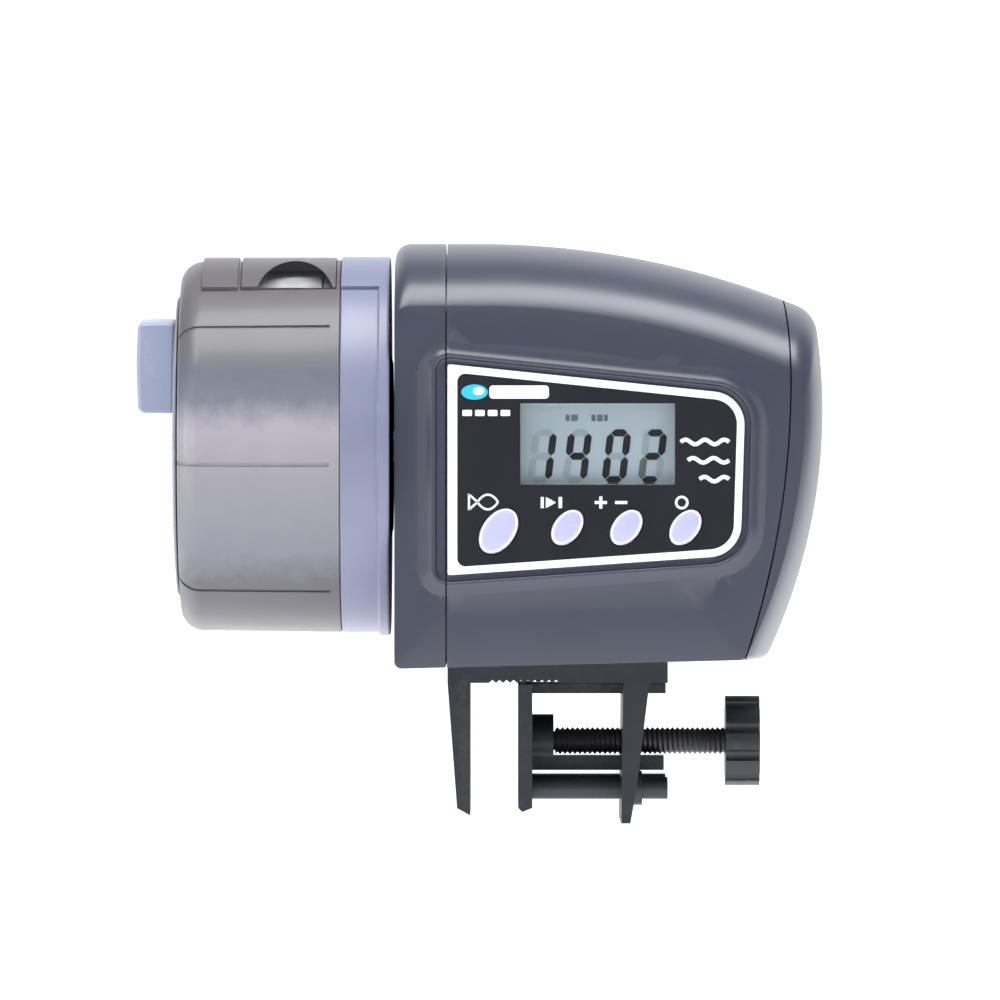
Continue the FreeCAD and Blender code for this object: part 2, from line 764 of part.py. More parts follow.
def drum_drive():
    """What turns with the drum: shaft, disc, cam, ring and its seal."""
    node("drive_shaft", on_drum_axis(turned("shaft_solid", [
        (-19.8, 0), (-19.8, "shaft_radius"), ("shaft_step", "shaft_radius"), ("shaft_step", "shaft_tail_radius"),
        ("plate_left - 0.1", "shaft_tail_radius"), ("plate_left - 0.1", "shaft_tail_radius - 0.5"),
        ("plate_left + plate_thickness", "shaft_tail_radius - 0.5"), ("plate_left + plate_thickness", 0)])))
    node("drive_disc", on_drum_axis(turned("disc_solid", [
        (-19.8, "shaft_radius + 0.01"), (-19.8, "socket_radius - 0.7"), (-18.2, "socket_radius - 0.7"),
        (-17.3, "socket_radius - 3.5"), (-17.3, "shaft_radius + 0.01")])))
    cam = turned("cam_blank", [(-14, "shaft_radius + 0.01"), (-14, 8), (-11, 8), (-11, "shaft_radius + 0.01")])
    flat = box("cam_flat", (-15, -10), (-9, 9), (6.4, 9))
    node("position_cam", on_drum_axis(cut("cam_solid", cam, flat)))
    ring = turned("ring_blank", [
        ("cup_mouth - 3.4", "cup_bore_radius - 1.8"), ("cup_mouth - 3.4", "cup_bore_radius - 0.3"),
        ("cup_mouth - 2", "cup_bore_radius - 0.3"), ("cup_mouth - 2", "cup_bore_radius - 0.9"),
        ("cup_mouth - 0.8", "cup_bore_radius - 0.9"), ("cup_mouth - 0.8", "cup_bore_radius - 0.3"),
        ("cup_mouth + 0.1", "cup_bore_radius - 0.3"),
        ("cup_mouth + 0.1", "cup_radius"), ("ring_face - 2.2", "cup_radius"),
        ("ring_face - 2.2", "ring_flange_radius"), ("ring_face", "ring_flange_radius"),
        ("ring_face", "socket_radius"), ("ring_face - 2", "socket_radius"), ("ring_face - 2", 0),
        ("ring_face - 4", 0), ("ring_face - 4", "cup_bore_radius - 1.8")])
    crest = sector("ring_crest", "cup_mouth + 0.1", "ring_face - 1", "ring_flange_radius",
                   "cup_radius - 1", "sector_half_angle")
    node("drum_ring", on_drum_axis(fuse("ring_solid", ring, crest)))
    node("drum_seal", on_drum_axis(turned("seal_solid", [
        ("cup_mouth - 1.95", "cup_bore_radius - 0.85"), ("cup_mouth - 1.95", "cup_bore_radius - 0.05"),
        ("cup_mouth - 0.85", "cup_bore_radius - 0.05"), ("cup_mouth - 0.85", "cup_bore_radius - 0.85")])))
    bush = turned("bush_solid", [
        ("body_left - 0.2", "shaft_radius + running_gap"), ("body_left - 0.2", 7.98),
        ("body_left + skin + 0.4", 7.98), ("body_left + skin + 0.4", "shaft_radius + running_gap")])
    node("shaft_bush", on_drum_axis(bush))


def cam_switch():
    """The switch that tells the board where the drum stands."""
    case = box("cam_switch_case", (-14.4, -10.6), (-16.5, -9.4), (40, 53))
    plunger = rod("cam_plunger", "y", -10, -8.4, -12.5, "drum_axis_height", 0.9)
    node("cam_switch", fuse("cam_switch_solid", case, plunger))


# ---------------------------------------------------------------------------
# Food drum
# ---------------------------------------------------------------------------

def rounded_rim(body, radius, x, rim_radius):
    """Round the outer edge of a turned body at one place along it."""
    doc.recompute()
    wanted = []
    for index, edge in enumerate(body.Tip.Shape.Edges, start=1):
        curve = edge.Curve
        if isinstance(curve, Part.Circle) and abs(curve.Radius - rim_radius) < 0.01 \
                and abs(edge.Vertexes[0].X - x) < 0.01:
            wanted.append(f"Edge{index}")
    base = body.Tip
    rim = body.newObject("PartDesign::Fillet", body.Name + "_rim")
    rim.Base = (base, wanted)
    rim.Radius = radius
    body.Tip = rim
    return body


def half_moon(name):
    """The outlet's cutter: a round bar from the front, with a flat floor."""
    bar = rod(name + "_bar", "y", -45, -3, "moon_centre", "moon_height", "moon_radius")
    above = box(name + "_above", (-60, -20), (-50, 0), ("moon_floor", 60))
    cutter = common(name, bar, above)
    cutter.Placement = Placement(Vector(), Rotation(Vector(1, 0, 0), -value("drum_turn")))
    return cutter


def food_drum():
    """The smoked clear cup, with shallow panel lines and the outlet's place."""
    cup = turned("cup_blank", [
        ("cup_end", "dial_hub_radius + running_gap"), ("cup_end", "cup_end_radius"),
        ("cup_mouth", "cup_radius"), ("cup_mouth", "cup_bore_radius"),
        ("cup_end + cup_end_wall", "cup_bore_radius - 0.3"),
        ("cup_end + cup_end_wall", "dial_hub_radius + running_gap")])
    rounded_rim(cup, value("cup_corner_radius"), value("cup_end"), value("cup_end_radius"))
    tools = [sector("outlet_window", "outlet_left - 0.1", "outlet_right + 0.1", 45, 30, "sector_half_angle")]
    for step in range(1, 8):
        groove = doc.addObject("Part::Box", f"panel_line_{step}")
        groove.Length = 33
        groove.Width = 0.5
        groove.Height = 3
        spin = Rotation(Vector(1, 0, 0), 45 * step)
        groove.Placement = Placement(spin.multVec(Vector(-62.6, -0.25, value("cup_radius") - 0.65)), spin)
        tools.append(groove)
    pad = sector("outlet_pad", "cup_end + cup_corner_radius", "outlet_left - 0.6", "sector_radius",
                 "cup_bore_radius + 0.5", "sector_half_angle")
    node("food_drum", on_drum_axis(fuse("cup_solid", cut("cup_trim", cup, *tools), pad)))
    frame = sector("frame_blank", "outlet_left", "outlet_right", "sector_radius", "cup_bore_radius + 0.05",
                   "sector_half_angle - 0.15")
    node("outlet_frame", on_drum_axis(cut("frame_solid", frame, half_moon("moon"))))


def dose_dial():
    """The dial in the drum's end, its grip, and the shutter that it carries inside."""
    node("dose_dial", on_drum_axis(turned("dial_solid", [
        ("cup_end - 1.6", 0), ("cup_end - 1.5", "dial_radius * 0.45"), ("cup_end - 1.2", "dial_radius * 0.8"),
        ("cup_end - 0.8", "dial_radius - 0.5"), ("cup_end - 0.3", "dial_radius"), ("cup_end - 0.3", "dial_hub_radius"),
        ("cup_end + cup_end_wall + 0.3", "dial_hub_radius"), ("cup_end + cup_end_wall + 0.3", 0)])))
    web = turned("shutter_web", [
        ("cup_end + cup_end_wall + 0.3", 0), ("cup_end + cup_end_wall + 0.3", "shutter_radius - 0.3"),
        ("cup_end + cup_end_wall + 1.4", "shutter_radius - 0.3"), ("cup_end + cup_end_wall + 1.4", 0)])
    curtain = sector("shutter_curtain", "cup_end + cup_end_wall + 0.5", "cup_mouth - 3.8",
                     "shutter_radius - 0.3", "shutter_radius - 0.3 - shutter_thickness", 30)
    curtain.Placement = Placement(Vector(), Rotation(Vector(1, 0, 0), 12))
    node("dose_shutter", on_drum_axis(fuse("shutter_solid", web, curtain)))
    knob_points = [(-68.2, 10), (-68.5, 16), (-68.2, 22), (-67.2, 25.2), ("cup_end - 1", 25.2),
                   ("cup_end - 1.35", 6.9), (-67, 6.9)]
    grip = profile_plate("grip_solid", knob_points, 5)
    node("dial_knob", on_drum_axis(cut("grip_trim", grip, turned("grip_dome", [
        ("cup_end - 1.6", 0), ("cup_end - 1.5", "dial_radius * 0.45"), ("cup_end - 1.2", "dial_radius * 0.8"),
        ("cup_end - 0.8", "dial_radius - 0.5"), ("cup_end + 3", "dial_radius - 0.5"), ("cup_end + 3", 0)]))))


# ---------------------------------------------------------------------------
# Cells
# ---------------------------------------------------------------------------

def coil(radius, wire_radius, pitch, turns, base):
    """A round wire coil that stands on a base point."""
    rise = pitch * turns
    steps = round(turns * 24)
    ring = Part.Wire(Part.makeCircle(wire_radius, Vector(radius, 0, 0), Vector(0, radius, pitch / (2 * math.pi))))
    rings = []
    for step in range(steps + 1):
        section = ring.copy()
        section.rotate(Vector(), Vector(0, 0, 1), 360 * turns * step / steps)
        section.translate(base + Vector(0, 0, rise * step / steps))
        rings.append(section)
    return Part.makeLoft(rings, True, True)


def cell_compartment():
    """The tray, two upright cells, their plates and springs."""
    outer = box("tray_outer", (40, 54.5), ("-cell_spacing", "cell_spacing"), (13, 70))
    inner = box("tray_inner", (41.4, 60), ("-cell_spacing + 1.2", "cell_spacing - 1.2"), (14.5, 68.6))
    node("battery_tray", cut("tray_solid", outer, inner))
    cells = []
    plates = []
    springs = []
    for index, side in enumerate((-1, 1)):
        y = f"{side} * cell_spacing / 2 - {side} * 0.5"
        top = "cell_low + cell_length"
        can = rod(f"cell_can_{index}", "z", "cell_low", f"{top} - 1.4", "cell_across", y, "cell_radius")
        tip = rod(f"cell_tip_{index}", "z", f"{top} - 2", top, "cell_across", y, 2.7)
        cells.append(fuse(f"cell_{index}", can, tip))
        low = "14.5"
        plates.append(box(f"low_plate_{index}", ("cell_across - 5", "cell_across + 5"),
                          (f"{y} - 5", f"{y} + 5"), (low, f"{low} + 0.4")))
        plates.append(box(f"high_plate_{index}", ("cell_across - 5", "cell_across + 5"),
                          (f"{y} - 5", f"{y} + 5"), (top, f"{top} + 0.5")))
        base = Vector(value("cell_across"), value(y), 14.9 + 0.4)
        springs.append(shape_feature(f"spring_{index}", coil(3.6, 0.35, 1.05, 2.1, base)))
    for index, cell in enumerate(cells):
        node(f"battery_cell_{'front' if index == 0 else 'rear'}", cell)
    node("battery_contacts", group("contact_set", *plates))
    node("battery_springs", group("spring_pair", *springs))


# ---------------------------------------------------------------------------
# Clamp
# ---------------------------------------------------------------------------

def bottom_line(x):
    """The housing's underside at a place along it, as an expression."""
    slope = "(bottom_right_height - bottom_left_height) / (bottom_right - body_left)"
    return f"bottom_left_height + ({x} - body_left) * {slope}"


def clamp_bracket():
    """The bracket under the housing: a fixed leg, a toothed seat and a far leg."""
    teeth = []
    first = 1.8
    for index in range(10):
        start = f"{first} + {index} * tooth_pitch"
        teeth.append((start, 0))
        teeth.append((f"{start} + tooth_pitch / 2", "tooth_depth"))
    teeth.append((f"{first} + 10 * tooth_pitch", 0))
    points = [
        (-6.4, bottom_line("-6.4")), (-6.4, 0), (-4.5, "leg_low + 1.4"), ("leg_face", "leg_low"),
        ("leg_face", 0)] + teeth + [
        ("far_leg_left", 0), ("far_leg_left - 0.4", "far_leg_low"), ("far_leg_left + 1.4", "far_leg_low"),
        ("far_leg_left + 2.6", -21), ("far_leg_right - 0.4", -3), ("far_leg_right", 0),
        ("bracket_right", 0), ("bracket_right", bottom_line("bracket_right"))]
    blank = profile_plate("bracket_blank", points, "bracket_half_depth")
    collars = [rod(f"collar_{index}", "x", "far_leg_left", 32.2, y, "rod_height", 3.4)
               for index, y in enumerate(("-rod_across", "rod_across"))]
    holes = [
        rod("thread_way", "x", 20, 40, 0, "screw_height", "screw_radius + running_gap"),
        box("tongue_way", (27, 35), (-9.3, 9.3), (-2.5, 0)),
        box("cradle_way", (27, 35), (-4.5, 4.5), (-17.9, "trough_top + 0.4")),
    ]
    for index, y in enumerate(("-rod_across", "rod_across")):
        holes.append(rod(f"rod_way_{index}", "x", 20, 40, y, "rod_height", "rod_radius + running_gap"))
    for index, (x, y) in enumerate(BRACKET_SCREWS):
        holes.append(rod(f"bracket_way_{index}", "z", -1, 6, x, y, 1.6))
        holes.append(rod(f"bracket_seat_{index}", "z", -1, 1.8, x, y, 3.1))
    node("clamp_bracket", cut("bracket_trim", fuse("bracket_solid", blank, *collars), *holes))
    screws = []
    for index, (x, y) in enumerate(BRACKET_SCREWS):
        head = rod(f"bracket_head_{index}", "z", 0.2, 1.8, x, y, 2.9)
        stem = rod(f"bracket_stem_{index}", "z", 1, 8.6, x, y, 1.05)
        screws.append(fuse(f"bracket_screw_{index}", head, stem))
    node("bracket_screws", group("bracket_screw_pair", *screws))


def clamp_jaw():
    """The sliding jaw: plate, top tongue, screw boss and the trough under the screw."""
    back = "jaw_face + jaw_thickness"
    plate = profile_plate("jaw_plate", [
        ("jaw_face", -0.3), ("jaw_face", "jaw_low + 0.8"), ("jaw_face + 0.8", "jaw_low"),
        (back, "jaw_low + 0.8"), (back, -0.3)], "jaw_half_depth")
    tongue = box("jaw_tongue", (f"{back} - 0.5", 37), (-9, 9), (-2.3, -0.3))
    boss = rod("jaw_boss", "x", f"{back} - 0.5", 14.7, 0, "screw_height", 5.3)
    trough = box("jaw_trough", (f"{back} - 0.5", 36.7), (-4.2, 4.2), (-17.7, "trough_top"))
    socket = rod("boss_socket", "x", 12.4, 15, 0, "screw_height", "1.9 + running_gap")
    holes = [socket]
    for index, y in enumerate(("-rod_across", "rod_across")):
        holes.append(rod(f"jaw_rod_way_{index}", "x", "jaw_face + 1.2", 15, y, "rod_height", "rod_radius + 0.02"))
    node("clamp_jaw", cut("jaw_trim", fuse("jaw_solid", plate, tongue, boss, trough), *holes))
    rods = [rod(f"guide_rod_{index}", "x", "jaw_face + 1.2", 37.3, y, "rod_height", "rod_radius")
            for index, y in enumerate(("-rod_across", "rod_across"))]
    node("guide_rods", group("rod_pair", *rods))


def on_screw_axis(piece):
    piece.setExpression(".Placement.Base.z", link("screw_height"))
    return piece


def clamp_screw():
    """The clamp's screw and its fluted knob."""
    node("clamp_screw", on_screw_axis(turned("screw_solid", [
        (12.6, 0), (12.6, 1.9), (15, 1.9), (15, "screw_radius"),
        ("knob_left + 5", "screw_radius"), ("knob_left + 5", 0)])))
    knob = turned("knob_blank", [
        ("knob_left", "screw_radius + 0.01"), ("knob_left", "knob_radius - 0.8"), ("knob_left + 0.8", "knob_radius"),
        ("knob_left + knob_length - 0.8", "knob_radius"), ("knob_left + knob_length", "knob_radius - 0.8"),
        ("knob_left + knob_length", 0), ("knob_left + 5.05", 0), ("knob_left + 5.05", "screw_radius + 0.01")])
    flutes = []
    for index in range(10):
        turn = math.radians(36 * index + 18)
        flutes.append(rod(f"flute_{index}", "x", "knob_left - 1", "knob_left + knob_length + 1",
                          f"(knob_radius + 0.3) * {math.cos(turn):.6f}",
                          f"(knob_radius + 0.3) * {math.sin(turn):.6f}", 1.25))
    node("clamp_knob", on_screw_axis(cut("knob_trim", knob, *flutes)))


def shell_screws():
    """Four screws through the left shell into the middle one."""
    screws = []
    for index, (y, z) in enumerate(SHELL_SCREWS):
        head = rod(f"shell_head_{index}", "x", "body_left + 0.1", "body_left + 1.2", y, z, 2.6)
        stem = rod(f"shell_stem_{index}", "x", "body_left + 1", "shell_boss_end - 1.2", y, z, 1.05)
        screws.append(fuse(f"shell_screw_{index}", head, stem))
    node("shell_screws", group("shell_screw_set", *screws))


# ---------------------------------------------------------------------------
# Build, check and write
# ---------------------------------------------------------------------------

drum_side_shell()
main_shell()
battery_cover()
shell_screws()
control_panel()
display()
circuit_board()
push_buttons()
gear_train()
gear_case()
motor()
drum_drive()
cam_switch()
food_drum()
dose_dial()
cell_compartment()
clamp_bracket()
clamp_jaw()
clamp_screw()
doc.recompute()

for item in doc.Objects:
    if "Invalid" in item.State or "Error" in item.State:
        raise RuntimeError(f"{item.Name} did not rebuild: {item.State}")
for item in NODES:
    if item.Shape.isNull() or not item.Shape.isValid():
        raise RuntimeError(f"{item.Label} has no valid shape")

os.makedirs("parts", exist_ok=True)
for item in NODES:
    item.Shape.exportStep(f"parts/{item.Label}.step")
print(f"{len(NODES)} sub-parts written")
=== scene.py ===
from math import atan2, cos, pi, radians, sin, sqrt, tan

import bpy
from mathutils import Matrix, Vector


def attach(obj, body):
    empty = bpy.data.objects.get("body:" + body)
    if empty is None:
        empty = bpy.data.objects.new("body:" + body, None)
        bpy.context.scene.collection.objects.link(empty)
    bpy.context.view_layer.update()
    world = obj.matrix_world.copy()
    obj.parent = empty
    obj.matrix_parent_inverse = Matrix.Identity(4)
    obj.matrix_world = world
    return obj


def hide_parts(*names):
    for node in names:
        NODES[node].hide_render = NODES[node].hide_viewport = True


# An automatic fish feeder with a smoked food drum, a timer panel and a tank clamp.
# Metres; X along the unit, -Y out of the panel, +Z up, the clamp's seat at the origin.

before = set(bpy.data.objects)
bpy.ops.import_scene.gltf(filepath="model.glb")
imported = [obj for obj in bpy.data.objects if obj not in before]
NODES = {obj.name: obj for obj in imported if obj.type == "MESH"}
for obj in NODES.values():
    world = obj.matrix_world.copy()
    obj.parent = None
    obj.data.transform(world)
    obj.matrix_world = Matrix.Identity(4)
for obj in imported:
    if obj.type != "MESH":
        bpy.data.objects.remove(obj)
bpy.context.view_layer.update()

MM = 0.001

DRUM_AXIS = 47.0
DRUM_TILT = radians(6)
HALF_DEPTH = 34.0
SEAM = -6.6
LABEL_FRONT = -35.6
LABEL_LEFT = -6.3
SEAM_GAP = 0.3
WALL = 2.0


# ==== Camera, light and backdrop ====

def make_camera():
    data = bpy.data.cameras.new("camera")
    data.lens = 360
    data.sensor_width = 36
    camera = bpy.data.objects.new("camera", data)
    bpy.context.collection.objects.link(camera)
    camera.location = (0.004, -2.0, 0.0362)
    camera.rotation_euler = (pi / 2, 0, 0)
    bpy.context.scene.camera = camera


LIT_POINT = Vector((0.0, 0.0, 0.035))
# name, place, width, height, power
LIGHTS = (("top_light", (0.05, -0.14, 0.75), 1.1, 0.4, 12.0),
          ("front_light", (0.05, -0.9, 0.45), 0.5, 0.4, 0.8),
          ("right_light", (0.58, -0.64, 0.18), 0.14, 0.6, 0.8),
          ("left_light", (-0.62, -0.65, 0.33), 0.42, 0.6, 1.4),
          ("edge_light", (-0.8, -0.22, 0.06), 0.1, 0.5, 1.4))


def soft_light(name, place, size, size_y, power):
    """A rectangular lamp that faces the middle of the feeder."""
    data = bpy.data.lights.new(name, "AREA")
    data.shape = "RECTANGLE"
    data.size = size
    data.size_y = size_y
    data.energy = power
    lamp = bpy.data.objects.new(name, data)
    bpy.context.collection.objects.link(lamp)
    lamp.location = place
    lamp.rotation_euler = (LIT_POINT - Vector(place)).to_track_quat("-Z", "Y").to_euler()


def light_tent():
    """A white tent round the object, darker where it opens towards the front."""
    world = bpy.data.worlds.new("studio")
    world.use_nodes = True
    tree = world.node_tree
    split = tree.nodes.new("ShaderNodeSeparateXYZ")
    tree.links.new(tree.nodes.new("ShaderNodeTexCoord").outputs["Generated"], split.inputs[0])
    ramp = tree.nodes.new("ShaderNodeValToRGB")
    spread = tree.nodes.new("ShaderNodeMapRange")
    spread.inputs["From Min"].default_value = -1.0
    spread.inputs["From Max"].default_value = 1.0
    tree.links.new(split.outputs["Y"], spread.inputs["Value"])
    tree.links.new(spread.outputs["Result"], ramp.inputs["Fac"])
    ramp.color_ramp.elements[0].position = 0.12
    ramp.color_ramp.elements[0].color = (0.10, 0.11, 0.14, 1)
    ramp.color_ramp.elements[1].position = 0.42
    ramp.color_ramp.elements[1].color = (0.72, 0.77, 0.92, 1)
    tree.links.new(ramp.outputs["Color"], tree.nodes["Background"].inputs["Color"])
    tree.nodes["Background"].inputs["Strength"].default_value = 0.5
    return world


def make_studio():
    scene = bpy.context.scene
    scene.view_settings.view_transform = "Standard"
    scene.world = light_tent()
    for name, place, size, size_y, power in LIGHTS:
        soft_light(name, place, size, size_y, power)


# metres
FLOOR_WIDTH = 5
FLOOR_DEPTH = 8
FLOOR_LEVEL = -0.09
BACK_HEIGHT = 4.0
SWEEP_RADIUS = 0.6


def make_backdrop():
    """A pale floor that sweeps up behind the feeder."""
    far = FLOOR_DEPTH / 2 - 0.1
    deselect()
    bpy.ops.mesh.primitive_plane_add(size=1, location=(0, 0, FLOOR_LEVEL))
    floor = bpy.context.object
    floor.name = "studio_floor"
    floor.scale = (FLOOR_WIDTH, FLOOR_DEPTH, 1)
    bpy.ops.object.transform_apply(location=True, rotation=True, scale=True)
    bpy.ops.object.mode_set(mode="EDIT")
    select_edges(floor, lambda a, b: min(a.y, b.y) > far)
    bpy.ops.mesh.extrude_region_move(TRANSFORM_OT_translate={"value": (0, 0, BACK_HEIGHT)})
    bpy.ops.mesh.select_all(action="DESELECT")
    select_edges(floor, lambda a, b: min(a.y, b.y) > far and max(a.z, b.z) < 0)
    bpy.ops.mesh.bevel(offset=SWEEP_RADIUS, segments=12, affect="EDGES")
    stop_editing()
    bpy.ops.object.shade_smooth()
    floor.data.materials.append(plain_studio_paint())


# ==== Modelling helpers ====

def deselect():
    if bpy.context.object and bpy.context.object.mode != "OBJECT":
        stop_editing()
    bpy.ops.object.select_all(action="DESELECT")


def make_active(piece):
    deselect()
    piece.select_set(True)
    bpy.context.view_layer.objects.active = piece


def start_editing(piece):
    """Start to edit a piece, with all of its mesh selected."""
    make_active(piece)
    bpy.ops.object.mode_set(mode="EDIT")
    bpy.ops.mesh.select_all(action="SELECT")


def stop_editing():
    bpy.ops.object.mode_set(mode="OBJECT")


def select_where(piece, elements, test):
    """Select parts of a mesh by a test, from and back to edit mode."""
    stop_editing()
    mesh = piece.data
    for item in getattr(mesh, elements):
        item.select = bool(test(item))
    bpy.ops.object.mode_set(mode="EDIT")


def select_edges(piece, test):
    """Select the edges whose two ends pass a test."""
    bpy.ops.mesh.select_mode(type="EDGE")
    bpy.ops.mesh.select_all(action="DESELECT")
    points = piece.data.vertices
    select_where(piece, "edges", lambda edge: test(*(points[i].co for i in edge.vertices)))


def select_faces(piece, test):
    """Select the faces whose centre and normal pass a test."""
    bpy.ops.mesh.select_mode(type="FACE")
    bpy.ops.mesh.select_all(action="DESELECT")
    select_where(piece, "polygons", lambda face: test(face.center, face.normal))


def settle(piece):
    """Put a piece's place, turn and scale into its mesh."""
    make_active(piece)
    bpy.ops.object.transform_apply(location=True, rotation=True, scale=True)
    return piece


def block(name, low, high):
    """A box between two corners in millimetres."""
    deselect()
    middle = [(a + b) / 2 * MM for a, b in zip(low, high)]
    bpy.ops.mesh.primitive_cube_add(size=1, location=middle)
    piece = bpy.context.object
    piece.name = name
    piece.scale = [(b - a) * MM for a, b in zip(low, high)]
    return settle(piece)


def round_bar(name, axis, start, end, centre, radius, vertices):
    """A cylinder along X, Y or Z; centre is its other two coordinates, in millimetres."""
    deselect()
    turn = {"x": (0, pi / 2, 0), "y": (pi / 2, 0, 0), "z": (0, 0, 0)}[axis]
    middle = (start + end) / 2
    place = {"x": (middle, *centre), "y": (centre[0], middle, centre[1]), "z": (*centre, middle)}[axis]
    bpy.ops.mesh.primitive_cylinder_add(vertices=vertices, radius=radius * MM, depth=(end - start) * MM,
                                        location=[value * MM for value in place], rotation=turn)
    piece = bpy.context.object
    piece.name = name
    return settle(piece)


def combine(piece, other, operation, keep=False):
    """Join, cut or keep the overlap with another solid."""
    make_active(piece)
    modifier = piece.modifiers.new("solid", "BOOLEAN")
    modifier.operation = operation
    modifier.object = other
    modifier.solver = "EXACT"
    bpy.ops.object.modifier_apply(modifier=modifier.name)
    if not keep:
        bpy.data.objects.remove(other)
    return piece


def soften(piece, width, segments, angle=35):
    """Round the sharp edges a little and smooth the shading."""
    make_active(piece)
    modifier = piece.modifiers.new("rounding", "BEVEL")
    modifier.width = width * MM
    modifier.segments = segments
    modifier.limit_method = "ANGLE"
    modifier.angle_limit = radians(angle)
    modifier.use_clamp_overlap = True
    bpy.ops.object.modifier_apply(modifier=modifier.name)
    bpy.ops.object.shade_smooth_by_angle(angle=radians(angle))
    even = piece.modifiers.new("even_shading", "WEIGHTED_NORMAL")
    even.keep_sharp = True
    even.weight = 100
    bpy.ops.object.modifier_apply(modifier=even.name)
    return piece


def clean(piece, distance):
    """Merge doubled points and point the faces outwards."""
    start_editing(piece)
    bpy.ops.mesh.remove_doubles(threshold=distance)
    bpy.ops.mesh.normals_make_consistent(inside=False)
    stop_editing()
    return piece


def mend(piece, distance):
    """Close the hair cracks that solids leave where their faces almost meet."""
    start_editing(piece)
    bpy.ops.mesh.select_mode(type="VERT")
    bpy.ops.mesh.select_all(action="DESELECT")
    bpy.ops.mesh.select_non_manifold()
    bpy.ops.mesh.remove_doubles(threshold=distance * MM)
    bpy.ops.mesh.select_all(action="SELECT")
    bpy.ops.mesh.delete_loose()
    stop_editing()
    return piece


def copy_of_node(node, name):
    """A merged copy of a frame node's mesh, to be finished as a new piece."""
    source = NODES[node]
    piece = bpy.data.objects.new(name, source.data.copy())
    bpy.context.collection.objects.link(piece)
    piece.data.transform(source.matrix_world)
    make_active(piece)
    piece.data.materials.clear()
    bpy.ops.mesh.customdata_custom_splitnormals_clear()
    start_editing(piece)
    bpy.ops.mesh.remove_doubles(threshold=0.000001)
    bpy.ops.mesh.dissolve_limited(angle_limit=radians(0.3))
    stop_editing()
    return piece


def place_piece(piece, body, material, slot, *nodes):
    """Give a finished piece its material, body and the nodes that it stands for; the slot is not used."""
    settle(piece)
    if material is not None:
        piece.data.materials.clear()
        piece.data.materials.append(material)
    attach(piece, body)
    if nodes:
        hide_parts(*nodes)
    return piece


# ==== Shared shader groups ====

def new_group(name, inputs, outputs):
    group = bpy.data.node_groups.new(name, "ShaderNodeTree")
    for label, kind, value in inputs:
        socket = group.interface.new_socket(name=label, in_out="INPUT", socket_type=kind)
        socket.default_value = value
    for label, kind in outputs:
        group.interface.new_socket(name=label, in_out="OUTPUT", socket_type=kind)
    return group, group.nodes.new("NodeGroupInput"), group.nodes.new("NodeGroupOutput")


def add_math(tree, operation, first, second, clamp=False):
    node = tree.nodes.new("ShaderNodeMath")
    node.operation = operation
    node.use_clamp = clamp
    for socket, value in zip(node.inputs, (first, second)):
        if isinstance(value, (int, float)):
            socket.default_value = value
        else:
            tree.links.new(value, socket)
    return node.outputs[0]


def stretch(tree, value, low, gain):
    """Raise a value's part above a floor, held between nought and one."""
    return add_math(tree, "MULTIPLY", add_math(tree, "SUBTRACT", value, low), gain, True)


def add_noise(tree, vector, scale, detail, roughness):
    node = tree.nodes.new("ShaderNodeTexNoise")
    node.inputs["Detail"].default_value = detail
    node.inputs["Roughness"].default_value = roughness
    if isinstance(scale, (int, float)):
        node.inputs["Scale"].default_value = scale
    else:
        tree.links.new(scale, node.inputs["Scale"])
    tree.links.new(vector, node.inputs["Vector"])
    return node.outputs["Fac"]


def object_coordinates(tree):
    return tree.nodes.new("ShaderNodeTexCoord").outputs["Object"]


def make_grain_group():
    """The fine spark-eroded grain of moulded plastic, and slow changes in its gloss."""
    group, given, made = new_group(
        "moulded_grain",
        [("Grain Scale", "NodeSocketFloat", 3200.0), ("Gloss Change", "NodeSocketFloat", 0.06),
         ("Roughness", "NodeSocketFloat", 0.4)],
        [("Height", "NodeSocketFloat"), ("Roughness", "NodeSocketFloat"), ("Cloud", "NodeSocketFloat")])
    place = object_coordinates(group)
    height = add_noise(group, place, given.outputs["Grain Scale"], 2.0, 0.6)
    cloud = add_noise(group, place, 90.0, 3.0, 0.55)
    swing = add_math(group, "MULTIPLY", add_math(group, "SUBTRACT", cloud, 0.5), given.outputs["Gloss Change"])
    group.links.new(height, made.inputs["Height"])
    group.links.new(add_math(group, "ADD", given.outputs["Roughness"], swing, True), made.inputs["Roughness"])
    group.links.new(cloud, made.inputs["Cloud"])
    return group


def make_wear_and_sheen_group():
    """Light rubbing on the raised edges, broken up by noise; where a material gives these edges a bright
    colour, it is also a painted highlight along them.
    """
    group, given, made = new_group(
        "edge_wear_and_sheen", [("Amount", "NodeSocketFloat", 0.5)], [("Mask", "NodeSocketFloat")])
    geometry = group.nodes.new("ShaderNodeNewGeometry")
    raised = stretch(group, geometry.outputs["Pointiness"], 0.52, 9.0)
    patches = add_noise(group, object_coordinates(group), 420.0, 4.0, 0.7)
    broken = stretch(group, patches, 0.42, 4.0)
    rubbed_and_sheen_edges = add_math(group, "MULTIPLY", raised, broken)
    group.links.new(add_math(group, "MULTIPLY", rubbed_and_sheen_edges, given.outputs["Amount"]), made.inputs["Mask"])
    return group


